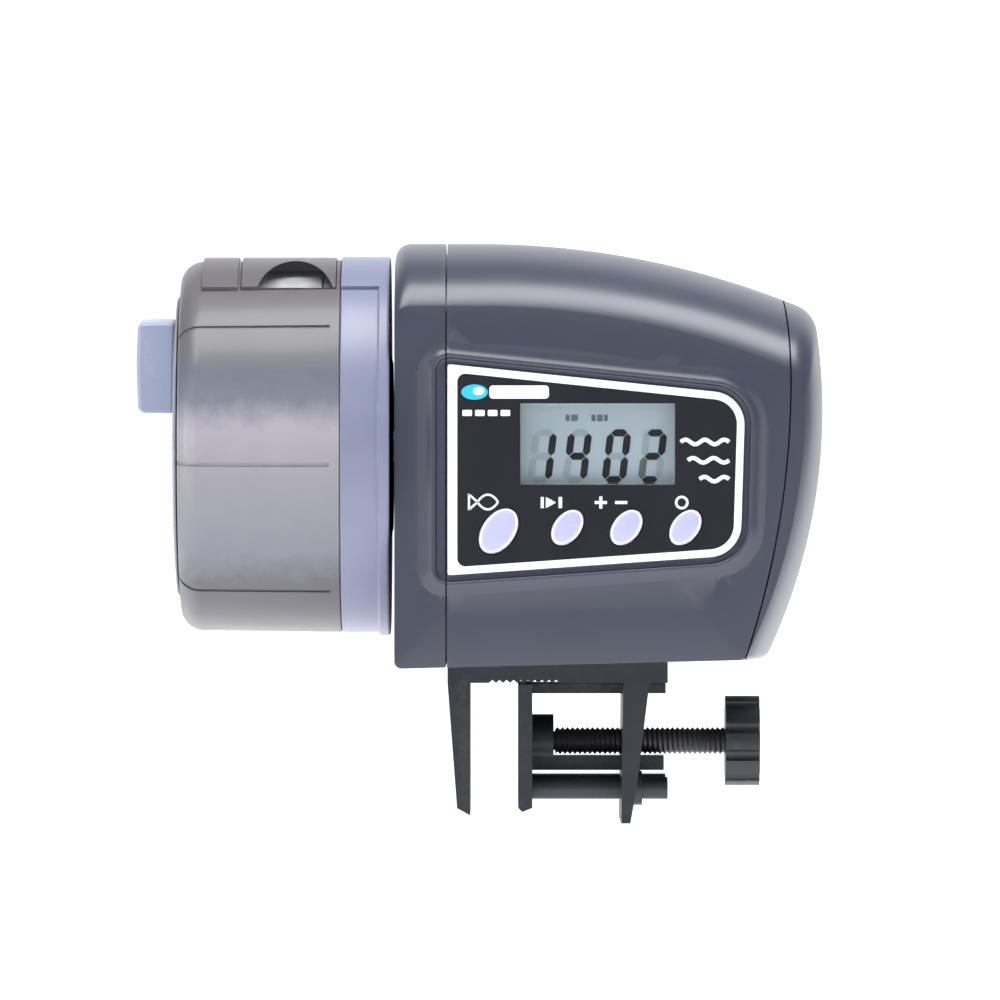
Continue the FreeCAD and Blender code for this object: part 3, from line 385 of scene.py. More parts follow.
def make_scuff_group():
    """Hairline scuffs that run mostly one way."""
    group, given, made = new_group(
        "hairline_scuffs", [("Amount", "NodeSocketFloat", 0.3)], [("Mask", "NodeSocketFloat")])
    drawn = group.nodes.new("ShaderNodeMapping")
    drawn.inputs["Scale"].default_value = (0.08, 1.0, 1.0)
    drawn.inputs["Rotation"].default_value = (0.2, 0.5, 0.1)
    group.links.new(object_coordinates(group), drawn.inputs["Vector"])
    lines = add_noise(group, drawn.outputs["Vector"], 2600.0, 2.0, 0.5)
    sharp = stretch(group, lines, 0.66, 9.0)
    where = add_noise(group, object_coordinates(group), 60.0, 2.0, 0.5)
    patches = stretch(group, where, 0.45, 4.0)
    marks = add_math(group, "MULTIPLY", sharp, patches)
    group.links.new(add_math(group, "MULTIPLY", marks, given.outputs["Amount"]), made.inputs["Mask"])
    return group


GRAIN = make_grain_group()
WEAR_AND_SHEEN = make_wear_and_sheen_group()
SCUFFS = make_scuff_group()


def place_group(tree, group, **values):
    node = tree.nodes.new("ShaderNodeGroup")
    node.node_tree = group
    for label, value in values.items():
        node.inputs[label.replace("_", " ")].default_value = value
    return node


def mix_colour(tree, factor, first, second):
    """Blend two colours; each is a socket or a plain colour, and the factor a socket or a number."""
    node = tree.nodes.new("ShaderNodeMix")
    node.data_type = "RGBA"
    if isinstance(factor, float):
        node.inputs["Factor"].default_value = factor
    else:
        tree.links.new(factor, node.inputs["Factor"])
    for socket, value in zip((node.inputs[6], node.inputs[7]), (first, second)):
        if isinstance(value, tuple):
            socket.default_value = (*value, 1)
        else:
            tree.links.new(value, socket)
    return node.outputs[2]


def new_material(name, **values):
    """A material with its fixed values on the shader's own sockets."""
    material = bpy.data.materials.new(name)
    material.use_nodes = True
    shader = material.node_tree.nodes["Principled BSDF"]
    for label, value in values.items():
        shader.inputs[label.replace("_", " ")].default_value = value
    return material, material.node_tree, shader


def finish_surface(tree, shader, base, surface, strength=0.0, distance=0.0):
    """Wire the colour, the gloss and, where it has a strength, the grain into a shader."""
    tree.links.new(base, shader.inputs["Base Color"])
    tree.links.new(surface.outputs["Roughness"], shader.inputs["Roughness"])
    if strength:
        bump = tree.nodes.new("ShaderNodeBump")
        bump.inputs["Strength"].default_value = strength
        bump.inputs["Distance"].default_value = distance
        tree.links.new(surface.outputs["Height"], bump.inputs["Height"])
        tree.links.new(bump.outputs["Normal"], shader.inputs["Normal"])


def moulded(name, colour, tint, roughness, grain=3200.0, depth=0.25, wear_and_sheen=0.5, scuffs=0.3, rubbed_and_sheen_edges=None,
            **values):
    """Moulded plastic: two close shades, fine grain, rubbed edges, which on the charcoal also carry a painted
    highlight, and a few scuffs.
    """
    material, tree, shader = new_material(name, **values)
    surface = place_group(tree, GRAIN, Grain_Scale=grain, Gloss_Change=0.08, Roughness=roughness)
    edges = place_group(tree, WEAR_AND_SHEEN, Amount=wear_and_sheen)
    marks = place_group(tree, SCUFFS, Amount=scuffs)
    pale = rubbed_and_sheen_edges or tuple(min(1.0, part * 1.6 + 0.03) for part in colour)
    base = mix_colour(tree, surface.outputs["Cloud"], colour, tint)
    # Rubbed edges in a paler colour; on the charcoal this is also a painted highlight along the ridge round
    # the label.
    base = mix_colour(tree, edges.outputs["Mask"], base, pale)
    base = mix_colour(tree, marks.outputs["Mask"], base, pale)
    finish_surface(tree, shader, base, surface, depth, 0.00003)
    return material


def plain_studio_paint():
    material, _, shader = new_material("studio_paint", Roughness=0.9, Emission_Strength=0.8)
    shader.inputs["Base Color"].default_value = (0.9, 0.9, 0.9, 1)
    shader.inputs["Emission Color"].default_value = (1, 1, 1, 1)
    return material


def metal(name, colour, roughness):
    """Plated or sintered metal with a fine drawn grain."""
    material, tree, shader = new_material(name, Metallic=1.0)
    surface = place_group(tree, GRAIN, Grain_Scale=2600.0, Gloss_Change=0.2, Roughness=roughness)
    marks = place_group(tree, SCUFFS, Amount=0.5)
    darker = tuple(part * 0.75 for part in colour)
    base = mix_colour(tree, surface.outputs["Cloud"], colour, darker)
    base = mix_colour(tree, marks.outputs["Mask"], base, (0.9, 0.9, 0.9))
    finish_surface(tree, shader, base, surface)
    return material


# Where the painted reflection bands start up the drum, and how tall they run.
REFLECTION_BANDS_BOTTOM = 0.009
REFLECTION_BANDS_HEIGHT = 0.076


def painted_reflection_bands(tree, painted_bands):
    """Painted reflection bands: light and dark shades in bands up the drum, with ragged borders, standing in
    for the surroundings reflected in it.
    """
    place = object_coordinates(tree)
    split = tree.nodes.new("ShaderNodeSeparateXYZ")
    tree.links.new(place, split.inputs[0])
    rough = add_math(tree, "SUBTRACT", add_noise(tree, place, 240.0, 6.0, 0.65), 0.5)
    height = add_math(tree, "ADD", split.outputs["Z"], add_math(tree, "MULTIPLY", rough, 0.008))
    shades = tree.nodes.new("ShaderNodeValToRGB")
    while len(shades.color_ramp.elements) < len(painted_bands):
        shades.color_ramp.elements.new(0.5)
    for element, (place_up, shade) in zip(shades.color_ramp.elements, painted_bands):
        element.position = place_up
        element.color = (*shade, 1)
    tree.links.new(stretch(tree, height, REFLECTION_BANDS_BOTTOM, 1 / REFLECTION_BANDS_HEIGHT), shades.inputs["Fac"])
    return shades.outputs["Color"]


def smoked(name, colour, tint, roughness, transmission, painted_bands=None, **values):
    """Smoked see-through plastic; the optional bands list painted reflection shades from bottom to top, bright
    and dark bands that stand in for reflections of the surroundings.
    """
    material, tree, shader = new_material(name, Transmission_Weight=transmission, IOR=1.45, **values)
    surface = place_group(tree, GRAIN, Grain_Scale=900.0, Gloss_Change=0.12, Roughness=roughness)
    marks = place_group(tree, SCUFFS, Amount=0.12)
    base = mix_colour(tree, surface.outputs["Cloud"], colour, tint)
    # Mix in the painted reflection bands, which outweigh the plastic's own colour.
    if painted_bands:
        base = mix_colour(tree, 0.2, painted_reflection_bands(tree, painted_bands), base)
    base = mix_colour(tree, marks.outputs["Mask"], base, (0.7, 0.7, 0.7))
    finish_surface(tree, shader, base, surface, 0.12, 0.00005)
    return material


# The charcoal's pale edge colour is partly real rubbing and partly a painted highlight on the ridge round the
# label and on other raised edges.
CHARCOAL = moulded("charcoal_plastic", (0.031, 0.035, 0.055), (0.036, 0.040, 0.062), 0.31, depth=0.16,
                   wear_and_sheen=0.25, scuffs=0.06, rubbed_and_sheen_edges=(0.13, 0.14, 0.19), Specular_IOR_Level=0.55)
CLAMP_PLASTIC = moulded("clamp_plastic", (0.011, 0.0125, 0.018), (0.014, 0.016, 0.023), 0.42, grain=2200.0,
                       Specular_IOR_Level=0.4)
LAVENDER = moulded("lavender_plastic", (0.235, 0.26, 0.37), (0.265, 0.29, 0.40), 0.30, wear_and_sheen=0.3, scuffs=0.1,
                   rubbed_and_sheen_edges=(0.4, 0.43, 0.56))
# Painted shade: a darker copy of the lavender plastic for the drum ring, which is the same plastic as the dial
# knob.
RING_PAINTED_SHADE = moulded("ring_plastic_painted_shade", (0.15, 0.165, 0.245), (0.175, 0.19, 0.275), 0.36, wear_and_sheen=0.3,
                     scuffs=0.1, rubbed_and_sheen_edges=(0.36, 0.39, 0.5))
DIAL_GREY = moulded("dial_plastic", (0.20, 0.21, 0.25), (0.23, 0.24, 0.28), 0.4)
SHUTTER_GREY = moulded("shutter_plastic", (0.30, 0.30, 0.31), (0.34, 0.34, 0.34), 0.35)
BLACK = moulded("black_plastic", (0.004, 0.004, 0.005), (0.006, 0.006, 0.007), 0.55, scuffs=0.05,
                Specular_IOR_Level=0.2)
LABEL_BLACK = moulded("label_film", (0.006, 0.007, 0.011), (0.008, 0.009, 0.014), 0.45, grain=5000.0,
                      depth=0.1, wear_and_sheen=0, scuffs=0.05, Specular_IOR_Level=0.25)
PRINT_WHITE = moulded("white_print", (0.76, 0.77, 0.80), (0.80, 0.81, 0.84), 0.4, grain=5000.0, depth=0.1,
                      wear_and_sheen=0)
LILAC = moulded("button_plastic", (0.37, 0.38, 0.55), (0.42, 0.43, 0.60), 0.3, wear_and_sheen=0.2)
GEAR_WHITE = moulded("gear_plastic", (0.72, 0.71, 0.65), (0.78, 0.77, 0.71), 0.42)
BOARD_GREEN = moulded("board_lacquer", (0.012, 0.10, 0.035), (0.02, 0.14, 0.05), 0.3, grain=1500.0)
CELL_BLUE = moulded("cell_wrap", (0.03, 0.09, 0.25), (0.04, 0.11, 0.3), 0.25)
RUBBER = moulded("seal_rubber", (0.018, 0.018, 0.018), (0.024, 0.024, 0.024), 0.7)
STEEL = metal("plated_steel", (0.62, 0.62, 0.63), 0.3)
BRONZE = metal("sintered_bronze", (0.55, 0.36, 0.16), 0.45)
# Painted reflection bands: shares of the drum's height, from its bottom, and the painted shade there; one
# bright band of reflected light, dark bands above it, darker towards the bottom.
DRUM_REFLECTION_BANDS = ((0.0, (0.11, 0.105, 0.12)), (0.14, (0.13, 0.125, 0.145)), (0.22, (0.27, 0.28, 0.33)),
             (0.40, (0.42, 0.41, 0.45)), (0.54, (0.60, 0.57, 0.62)), (0.62, (0.22, 0.24, 0.31)),
             (0.69, (0.15, 0.17, 0.23)), (0.74, (0.17, 0.165, 0.18)), (0.92, (0.14, 0.13, 0.14)))
SMOKE = smoked("smoked_cup", (0.26, 0.25, 0.28), (0.30, 0.29, 0.31), 0.46, 0.5, painted_bands=DRUM_REFLECTION_BANDS,
               Coat_Weight=0.2, Coat_Roughness=0.15, Specular_IOR_Level=0.35)
CLEAR = smoked("window_clear", (0.97, 0.985, 0.99), (0.98, 0.99, 0.995), 0.02, 1.0, Specular_IOR_Level=0.25)
LCD_GREY = moulded("display_glass", (0.56, 0.67, 0.73), (0.60, 0.71, 0.77), 0.3, grain=6000.0,
                   depth=0.05, wear_and_sheen=0)
LCD_DARK = moulded("display_segment", (0.006, 0.009, 0.009), (0.010, 0.013, 0.013), 0.4, wear_and_sheen=0)
LCD_GHOST = moulded("display_ghost", (0.42, 0.51, 0.56), (0.45, 0.54, 0.59), 0.3, wear_and_sheen=0)
LCD_FADING = moulded("display_fading", (0.16, 0.20, 0.21), (0.19, 0.23, 0.24), 0.3, wear_and_sheen=0)

BADGE_CYAN = moulded("badge_cyan", (0.02, 0.42, 0.66), (0.03, 0.46, 0.70), 0.35, wear_and_sheen=0)
BUTTON_RIM = moulded("button_rim_white", (0.74, 0.73, 0.82), (0.78, 0.77, 0.86), 0.28, wear_and_sheen=0.2)
SCREW_BLACK = moulded("screw_black", (0.018, 0.018, 0.022), (0.024, 0.024, 0.028), 0.38,
                      Specular_IOR_Level=0.4)

CARRIED = (
    (STEEL, "shell_screws bracket_screws board_screws gear_plate_screws drive_shaft gear_axles "
            "battery_contacts battery_springs motor tact_switches"),
    (BRONZE, "shaft_bush"),
    (GEAR_WHITE, "output_gear second_gear first_gear motor_pinion position_cam gear_plate"),
    (BLACK, "drive_disc battery_tray cam_switch"),
    (BOARD_GREEN, "circuit_board"),
    (RUBBER, "lcd_connector_strips drum_seal"),
    (CELL_BLUE, "battery_cell_front battery_cell_rear"),
    (CLEAR, "lcd_window"),
    (LCD_GREY, "lcd_module"),
    (CHARCOAL, "drum_side_shell main_shell battery_cover"),
    (LABEL_BLACK, "control_panel"),
    (SMOKE, "food_drum outlet_frame"),
    (LAVENDER, "drum_ring dial_knob"),
    (DIAL_GREY, "dose_dial"),
    (SHUTTER_GREY, "dose_shutter"),
    (LILAC, "button_feed button_mode button_adjust button_set"),
    (CLAMP_PLASTIC, "clamp_bracket clamp_jaw guide_rods clamp_screw clamp_knob"),
)


def finish_carried_nodes():
    """Give every frame node a finish, whether or not a new piece replaces it."""
    for material, names in CARRIED:
        for name in names.split():
            mesh = NODES[name].data
            mesh.materials.clear()
            mesh.materials.append(material)


# ==== Outlines and solids ====

def swung(vector, turn):
    """A flat vector turned anticlockwise."""
    return Vector((vector.x * cos(turn) - vector.y * sin(turn),
                   vector.x * sin(turn) + vector.y * cos(turn)))


def rounded(corners, radii, steps):
    """A closed outline in two dimensions with each corner turned on its own radius."""
    points = [Vector(corner) for corner in corners]
    result = []
    for index, here in enumerate(points):
        radius = radii[index] if isinstance(radii, (list, tuple)) else radii
        back = (points[index - 1] - here).normalized()
        ahead = (points[(index + 1) % len(points)] - here).normalized()
        half = back.angle(ahead) / 2
        if radius <= 0 or half > radians(89.9):
            result.append(here)
            continue
        centre = here + (back + ahead).normalized() * (radius / sin(half))
        first = here + back * (radius / tan(half)) - centre
        last = here + ahead * (radius / tan(half)) - centre
        sweep = first.angle_signed(last)
        for step in range(steps + 1):
            turn = -sweep * step / steps
            result.append(centre + swung(first, turn))
    return result


def new_piece(name, points, edges, faces):
    mesh = bpy.data.meshes.new(name)
    mesh.from_pydata(points, edges, faces)
    piece = bpy.data.objects.new(name, mesh)
    bpy.context.collection.objects.link(piece)
    return piece


def from_rings(name, rings, joined_ends=False):
    """A skin over rings of equally many points in millimetres, closed or capped at its ends."""
    count = len(rings[0])
    points = [[value * MM for value in point] for ring in rings for point in ring]
    faces = []
    spans = len(rings) if joined_ends else len(rings) - 1
    for row in range(spans):
        here = row * count
        beyond = (row + 1) % len(rings) * count
        for index in range(count):
            after = (index + 1) % count
            faces.append((here + index, here + after, beyond + after, beyond + index))
    if not joined_ends:
        faces.append(tuple(range(count)))
        faces.append(tuple(range((len(rings) - 1) * count, len(rings) * count)))
    return clean(new_piece(name, points, [], faces), 0.0000005)


def slab(name, outline, start, end):
    """An outline across the front (x, z), run from one depth to another."""
    return from_rings(name, [[(x, depth, z) for x, z in outline] for depth in (start, end)])


def turned(name, profile, steps=144, angle=360.0):
    """A closed (along, out) profile spun about the X axis."""
    points = [(x * MM, 0, r * MM) for x, r in profile]
    edges = [(index, (index + 1) % len(points)) for index in range(len(points))]
    faces = [] if angle >= 360 else [tuple(range(len(points)))]
    piece = new_piece(name, points, edges, faces)
    start_editing(piece)
    bpy.ops.mesh.spin(steps=steps, angle=radians(angle), center=(0, 0, 0), axis=(1, 0, 0))
    stop_editing()
    return clean(piece, 0.000002)


def wedge(name, start, end, outer, inner, half_angle, steps=28, bend=0.0):
    """A sector of a tube about the X axis, centred straight up."""
    profile = rounded([(start, inner), (start, outer), (end, outer), (end, inner)], [0, bend, bend, 0], 4)
    piece = turned(name, profile, steps, 2 * half_angle)
    corners = [point.co for point in piece.data.vertices]
    lean = sum(atan2(co.y, co.z) for co in corners) / len(corners)
    piece.data.transform(Matrix.Rotation(lean, 4, "X"))
    return piece


def to_drum_axis(piece):
    """Move a piece from the X axis to the drum's axis, with the drum's rest turn."""
    piece.data.transform(Matrix.Translation((0, 0, DRUM_AXIS * MM)) @ Matrix.Rotation(DRUM_TILT, 4, "X"))
    return piece


def unite(piece, *others):
    for other in others:
        combine(piece, other, "UNION")
    return piece


def carve(piece, *others):
    for other in others:
        combine(piece, other, "DIFFERENCE")
    return piece


# ==== Housing ====

BODY_LEFT = -16.8
BODY_BOTTOM = 3.0
TOP_RADIUS = 169.0
NOSE_RADIUS = 113.0
TOP_DROP = 13.2
NOSE_DROP = 4.5
TOP_CENTRE = Vector((0.0, 87.4 - TOP_RADIUS))
NOSE_CENTRE = Vector((68.4 - NOSE_RADIUS, 54.0))
LEAN_LIMIT = radians(78)


def arc_points(centre, radius, start, end, steps):
    """Points on a circle from one point to another by the short way, without the last."""
    first = (start - centre).normalized() * radius
    turn = first.angle_signed(end - centre)
    result = []
    for step in range(steps):
        angle = -turn * step / steps
        result.append(centre + swung(first, angle))
    return result


def straight_points(start, end, steps):
    return [start.lerp(end, step / steps) for step in range(steps)]


def housing_outline(lowered, inset):
    """The housing's upright outline, (along, up), where it has dropped by a share of its shoulder.

    It runs anticlockwise: heel (bottom left), toe, nose, top corner, arch, then down the left side.
    """
    left = BODY_LEFT + inset
    low_left = Vector((left, BODY_BOTTOM + inset))
    heel = max(1.4 - inset, 0.3)
    along = Vector((55.4 - BODY_LEFT, 1.8)).normalized()
    upward = Vector((-along.y, along.x))
    top_radius = TOP_RADIUS - inset - TOP_DROP * lowered
    nose_radius = NOSE_RADIUS - inset - NOSE_DROP * lowered
    corner = 6.5
    first, second = top_radius - corner, nose_radius - corner
    apart = NOSE_CENTRE - TOP_CENTRE
    reach = (first ** 2 - second ** 2 + apart.length_squared) / (2 * apart.length)
    aside = sqrt(first ** 2 - reach ** 2)
    direction = apart.normalized()
    normal = Vector((-direction.y, direction.x))
    corner_centre = max((TOP_CENTRE + direction * reach + normal * aside * sign for sign in (1, -1)),
                        key=lambda point: point.x)
    top_end = TOP_CENTRE + (corner_centre - TOP_CENTRE).normalized() * top_radius
    nose_start = NOSE_CENTRE + (corner_centre - NOSE_CENTRE).normalized() * nose_radius
    toe = 2.2
    base = low_left + upward * toe
    offset = base - NOSE_CENTRE
    half = offset.dot(along)
    toe_centre = base + along * (-half + sqrt(half ** 2 - offset.dot(offset) + (nose_radius - toe) ** 2))
    toe_start = toe_centre - upward * toe
    nose_end = NOSE_CENTRE + (toe_centre - NOSE_CENTRE).normalized() * nose_radius
    bend = 3.0
    top_height = TOP_CENTRE.y + top_radius
    flat_end = Vector((0.0, top_height))
    flat_start = Vector((left + bend, top_height))
    left_top = Vector((left, top_height - bend))
    bend_centre = Vector((left + bend, top_height - bend))
    heel_start = low_left + Vector((0.0, heel))
    heel_end = low_left + along * heel
    heel_centre = heel_end + Vector((0.0, heel))
    return (straight_points(heel_end, toe_start, 20) + arc_points(toe_centre, toe, toe_start, nose_end, 6)
            + arc_points(NOSE_CENTRE, nose_radius, nose_end, nose_start, 36)
            + arc_points(corner_centre, corner, nose_start, top_end, 12)
            + arc_points(TOP_CENTRE, top_radius, top_end, flat_end, 40)
            + straight_points(flat_end, flat_start, 5)
            + arc_points(bend_centre, bend, flat_start, left_top, 8)
            + straight_points(left_top, heel_start, 20)
            + arc_points(heel_centre, heel, heel_start, heel_end, 5))


def housing_form(name, inset):
    """The housing across its depth: arched shoulders, a soft crease and a slightly domed face."""
    half = HALF_DEPTH - inset
    rings = []
    swings = [LEAN_LIMIT * step / 16 for step in range(-15, 16)]
    swings = [-LEAN_LIMIT, -0.985 * LEAN_LIMIT] + swings + [0.985 * LEAN_LIMIT, LEAN_LIMIT]
    for swing in swings:
        lowered = (1 - cos(swing)) / (1 - cos(LEAN_LIMIT))
        depth = half * sin(swing) / sin(LEAN_LIMIT)
        rings.append([(x, depth, z) for x, z in housing_outline(lowered, inset)])
    face = housing_outline(1.0, inset)
    middle = Vector((20.0, 44.0))
    dome = ((0.996, 0.013), (0.985, 0.05), (0.96, 0.13), (0.92, 0.23), (0.86, 0.34), (0.76, 0.45),
            (0.6, 0.53), (0.4, 0.57))
    for share, rise in dome:
        grown = [middle + (point - middle) * share for point in face]
        rings.insert(0, [(x, -half - rise, z) for x, z in grown])
        rings.append([(x, half + rise, z) for x, z in grown])
    return from_rings(name, rings)


def cover_edge(shift):
    """Everything beyond the battery cover's curved seam, moved by a shift."""
    top, middle, bottom = (Vector(point) for point in ((60.4, 76.2), (60.6, 45.2), (52.2, 4.8)))
    chord = (top + bottom) / 2
    across = (top - bottom).normalized()
    side = Vector((across.y, -across.x))
    sagitta = (middle - chord).dot(side)
    # the circle through the three points, from the middle one's place on the chord
    slide = (middle - chord).dot(across)
    half = (top - bottom).length / 2
    centre_shift = (half ** 2 - slide ** 2 - sagitta ** 2) / (-2 * sagitta)
    centre = chord + side * centre_shift
    radius = (top - centre).length
    curve = arc_points(centre, radius, bottom, top, 40) + [top]
    outline = [Vector((bottom.x - 4.5, bottom.y - 14))] + curve
    outline += [Vector((top.x - 1.5, top.y + 20)), Vector((120, top.y + 20)), Vector((120, bottom.y - 14))]
    return slab("cover_side", [(x + shift, z) for x, z in outline], -60, 60)


def panel_outline(grow, left, left_radius, right_radius, steps=10):
    """The control panel's outline, grown outwards; its left edge is given."""
    right = 52.2 + grow

    def upper(x):
        return 62.9 - 0.1032 * (x - LABEL_LEFT) + grow

    def lower(x):
        return 21.4 + 0.0683 * (x + 6.3) - grow

    lean = 0.031 * (upper(right) - lower(right))
    corners = [(left, upper(left)), (right, upper(right)), (right - lean, lower(right)), (left, lower(left))]
    return rounded(corners, [left_radius, right_radius, right_radius, left_radius], steps)


def panel_surround():
    """The raised ring round the label: an outer bevel, a ridge and a groove inside it."""
    # (outwards from the label, further out at the left, up from the housing's face)
    rows = ((5.4, 1.1, -0.9), (5.2, 1.1, 0.15), (4.6, 1.1, 0.42), (3.9, 1.1, 0.62), (3.2, 1.1, 0.88),
            (2.7, 1.1, 1.16), (2.3, 1.1, 1.45), (2.05, 1.1, 1.6), (1.85, 1.1, 1.66), (1.62, 1.1, 1.64),
            (1.42, 1.05, 1.5), (1.28, 1.0, 1.22), (1.15, 0.95, 0.98), (0.9, 0.8, 0.9), (0.35, 0.0, 0.9),
            (0.22, 0.0, 1.1))
    rings = []
    for grow, extra, rise in rows:
        outline = panel_outline(grow, LABEL_LEFT - grow - extra, max(0.6, grow + 1.2), 6.5 + grow)
        rings.append([(x, -HALF_DEPTH - rise, z) for x, z in outline])
    return from_rings("panel_surround", rings)


BUTTONS = {
    # name: (along, up, long half, short half, lean from upright)
    "button_feed": (3.7, 30.1, 4.9, 3.2, 35),
    "button_mode": (17.2, 30.8, 3.9, 2.6, 38),
    "button_adjust": (28.8, 30.8, 3.9, 2.6, 38),
    "button_set": (40.4, 30.8, 3.9, 2.6, 38),
}


def oval(name, along, up, long_half, short_half, lean, start, end, vertices=72):
    """An oval bar from front to back, leaning to the right."""
    piece = round_bar(name, "y", start, end, (0, 0), 1.0, vertices)
    piece.data.transform(Matrix.Diagonal((short_half, 1, long_half, 1)))
    piece.data.transform(Matrix.Rotation(radians(lean), 4, "Y"))
    piece.data.transform(Matrix.Translation((along * MM, 0, up * MM)))
    return piece


WINDOW = ((8.0, -38, 39.2), (38.4, -31, 55.2))
KEY_GAP = 0.25


def cut_key_ways(piece):
    for x, z, long_half, short_half, lean in BUTTONS.values():
        carve(piece, oval("key_way", x, z, long_half + KEY_GAP, short_half + KEY_GAP, lean, -38, -31))


SHELL_SCREWS = ((-28.6, 8.4), (28.6, 8.4), (-28.6, 70), (28.6, 70))
PLATE_POSTS = ((24.5, 13.5), (-12, 14), (-14, 60), (25, 56))
BOARD_POSTS = ((-1.8, 24), (46.8, 24), (-1.8, 58), (46.8, 58))


def copy_piece(piece, name):
    twin = bpy.data.objects.new(name, piece.data.copy())
    bpy.context.collection.objects.link(twin)
    return twin


def add_post(case, axis, place, post, pilot):
    """A screw post with a pilot hole; each is given as start, end and radius, the hole with its sides too."""
    start, end, radius = post
    hole_start, hole_end, hole_radius, sides = pilot
    unite(case, carve(round_bar("post", axis, start, end, place, radius, 32),
                      round_bar("pilot", axis, hole_start, hole_end, place, hole_radius, sides)))


def stretch_of_housing(start, end):
    """A block round all of the housing between two places along it."""
    return block("part", (start, -60, -30), (end, 60, 120))


def make_shells():
    """The three shells, cut from one skin so that their seams meet."""
    left_end, middle_start = SEAM - SEAM_GAP / 2, SEAM + SEAM_GAP / 2
    skin = unite(housing_form("housing_skin", 0), panel_surround())
    carve(skin, housing_form("housing_inside", WALL))
    left = copy_piece(skin, "drum_side_case")
    combine(left, stretch_of_housing(-40, left_end), "INTERSECT")
    cover = copy_piece(skin, "battery_cover_case")
    combine(cover, cover_edge(SEAM_GAP / 2), "INTERSECT")
    middle = skin
    middle.name = "main_case"
    combine(middle, stretch_of_housing(middle_start, 120), "INTERSECT")
    carve(middle, cover_edge(-SEAM_GAP / 2))

    lip = carve(housing_form("lip_skin", WALL - 0.6), housing_form("lip_inside", WALL + 1.2))
    left_lip = copy_piece(lip, "left_lip")
    combine(left_lip, stretch_of_housing(middle_start, SEAM + 3), "INTERSECT")
    right_lip = lip
    combine(right_lip, cover_edge(-3), "INTERSECT")
    carve(right_lip, cover_edge(-SEAM_GAP / 2))
    tongue = carve(housing_form("tongue_skin", WALL + 0.15), housing_form("tongue_inside", WALL + 1.1))
    combine(tongue, cover_edge(-2), "INTERSECT")
    carve(tongue, cover_edge(2.5))
    bridge = carve(housing_form("bridge_skin", WALL + 0.15), housing_form("bridge_inside", WALL + 1.1))
    combine(bridge, stretch_of_housing(SEAM - 2.5, SEAM + 2.6), "INTERSECT")
    unite(middle, left_lip, right_lip, tongue, bridge)

    for place in PLATE_POSTS:
        add_post(left, "x", place, (-15.3, 3.0, 2.5), (-4, 4, 1.1, 24))
    carve(left, round_bar("bush_hole", "x", -18, -13, (0, DRUM_AXIS), 8, 64))
    for y, z in SHELL_SCREWS:
        carve(left, round_bar("way", "x", -18, -13, (y, z), 1.7, 32),
              round_bar("seat", "x", -18, -15.6, (y, z), 2.8, 32))
    carve(middle, block("window_way", *WINDOW))
    cut_key_ways(middle)
    for place in BOARD_POSTS:
        add_post(middle, "y", place, (-32.6, -27, 2), (-30.5, -26, 0.8, 16))
    for place in SHELL_SCREWS:
        add_post(middle, "x", place, (middle_start, 2.8, 3.4), (-8, 2.2, 1.1, 16))
    for case in (left, middle, cover):
        start_editing(case)
        bpy.ops.mesh.dissolve_degenerate(threshold=0.000002)
        stop_editing()
    for case, node, body in ((left, "drum_side_shell", "housing"), (middle, "main_shell", "housing"),
                             (cover, "battery_cover", "cover")):
        soften(case, 0.18, 2, 32)
        mend(case, 0.03)
        place_piece(case, body, CHARCOAL, "housing_plastic", node)


# ==== Control panel ====

PRINT_FRONT = -35.65
PRINT_BACK = -35.57


def front_inset(piece, thickness, depth):
    """Draw in the faces that look forwards, and push them along; millimetres."""
    start_editing(piece)
    foremost = min(point.co.y for point in piece.data.vertices)
    select_faces(piece, lambda centre, normal: normal.y < -0.9 and centre.y < foremost + 0.00002)
    bpy.ops.mesh.inset(thickness=thickness * MM, depth=depth * MM)
    stop_editing()
    return piece


def make_label():
    plate = slab("label_plate", panel_outline(0, LABEL_LEFT, 0.5, 6.5), LABEL_FRONT, -35.1)
    carve(plate, block("window_way", *WINDOW))
    cut_key_ways(plate)
    soften(plate, 0.06, 2, 40)
    place_piece(plate, "housing", LABEL_BLACK, "label_print", "control_panel")


def printed(outline):
    return slab("print", outline, PRINT_FRONT, PRINT_BACK)


def printed_stroke(points, width):
    """A printed line of even width along a few (along, up) points."""
    line = [Vector(point) for point in points]
    left, right = [], []
    for index, here in enumerate(line):
        ahead = line[min(index + 1, len(line) - 1)] - line[max(index - 1, 0)]
        side = Vector((-ahead.y, ahead.x)).normalized() * width / 2
        left.append(here + side)
        right.append(here - side)
    return printed(left + right[::-1])


def printed_bar(left, right, low, high, turn):
    return printed(rounded([(left, high), (right, high), (right, low), (left, low)], turn, 5))


def wave(left, right, up, rise, crests, width):
    steps = 48
    points = []
    for step in range(steps + 1):
        share = step / steps
        points.append((left + (right - left) * share, up + rise * sin(2 * pi * crests * share)))
    return printed_stroke(points, width)


def join_all(name, pieces):
    """Several solids as one object."""
    deselect()
    for piece in pieces:
        piece.select_set(True)
    bpy.context.view_layer.objects.active = pieces[0]
    bpy.ops.object.join()
    pieces[0].name = name
    return pieces[0]


def oval_points(along, up, half_width, half_height):
    turns = [2 * pi * step / 40 for step in range(40)]
    return [(along + half_width * cos(turn), up + half_height * sin(turn)) for turn in turns]


def fish_mark(along, up):
    """A small outlined fish for the hand-feeding key."""
    steps = 18
    upper = [(along - 1.3 + 4.0 * step / steps, up + 1.45 * sin(pi * step / steps) ** 0.8)
             for step in range(steps + 1)]
    lower = [(x, 2 * up - z) for x, z in upper]
    top_tail = [(along - 3.0, up + 1.5), (along - 1.3, up)]
    low_tail = [(along - 3.0, up - 1.5), (along - 1.3, up)]
    close = [(along - 3.0, up - 1.6), (along - 3.0, up + 1.6)]
    return [printed_stroke(points, 0.42) for points in (upper, lower, top_tail, low_tail, close)]


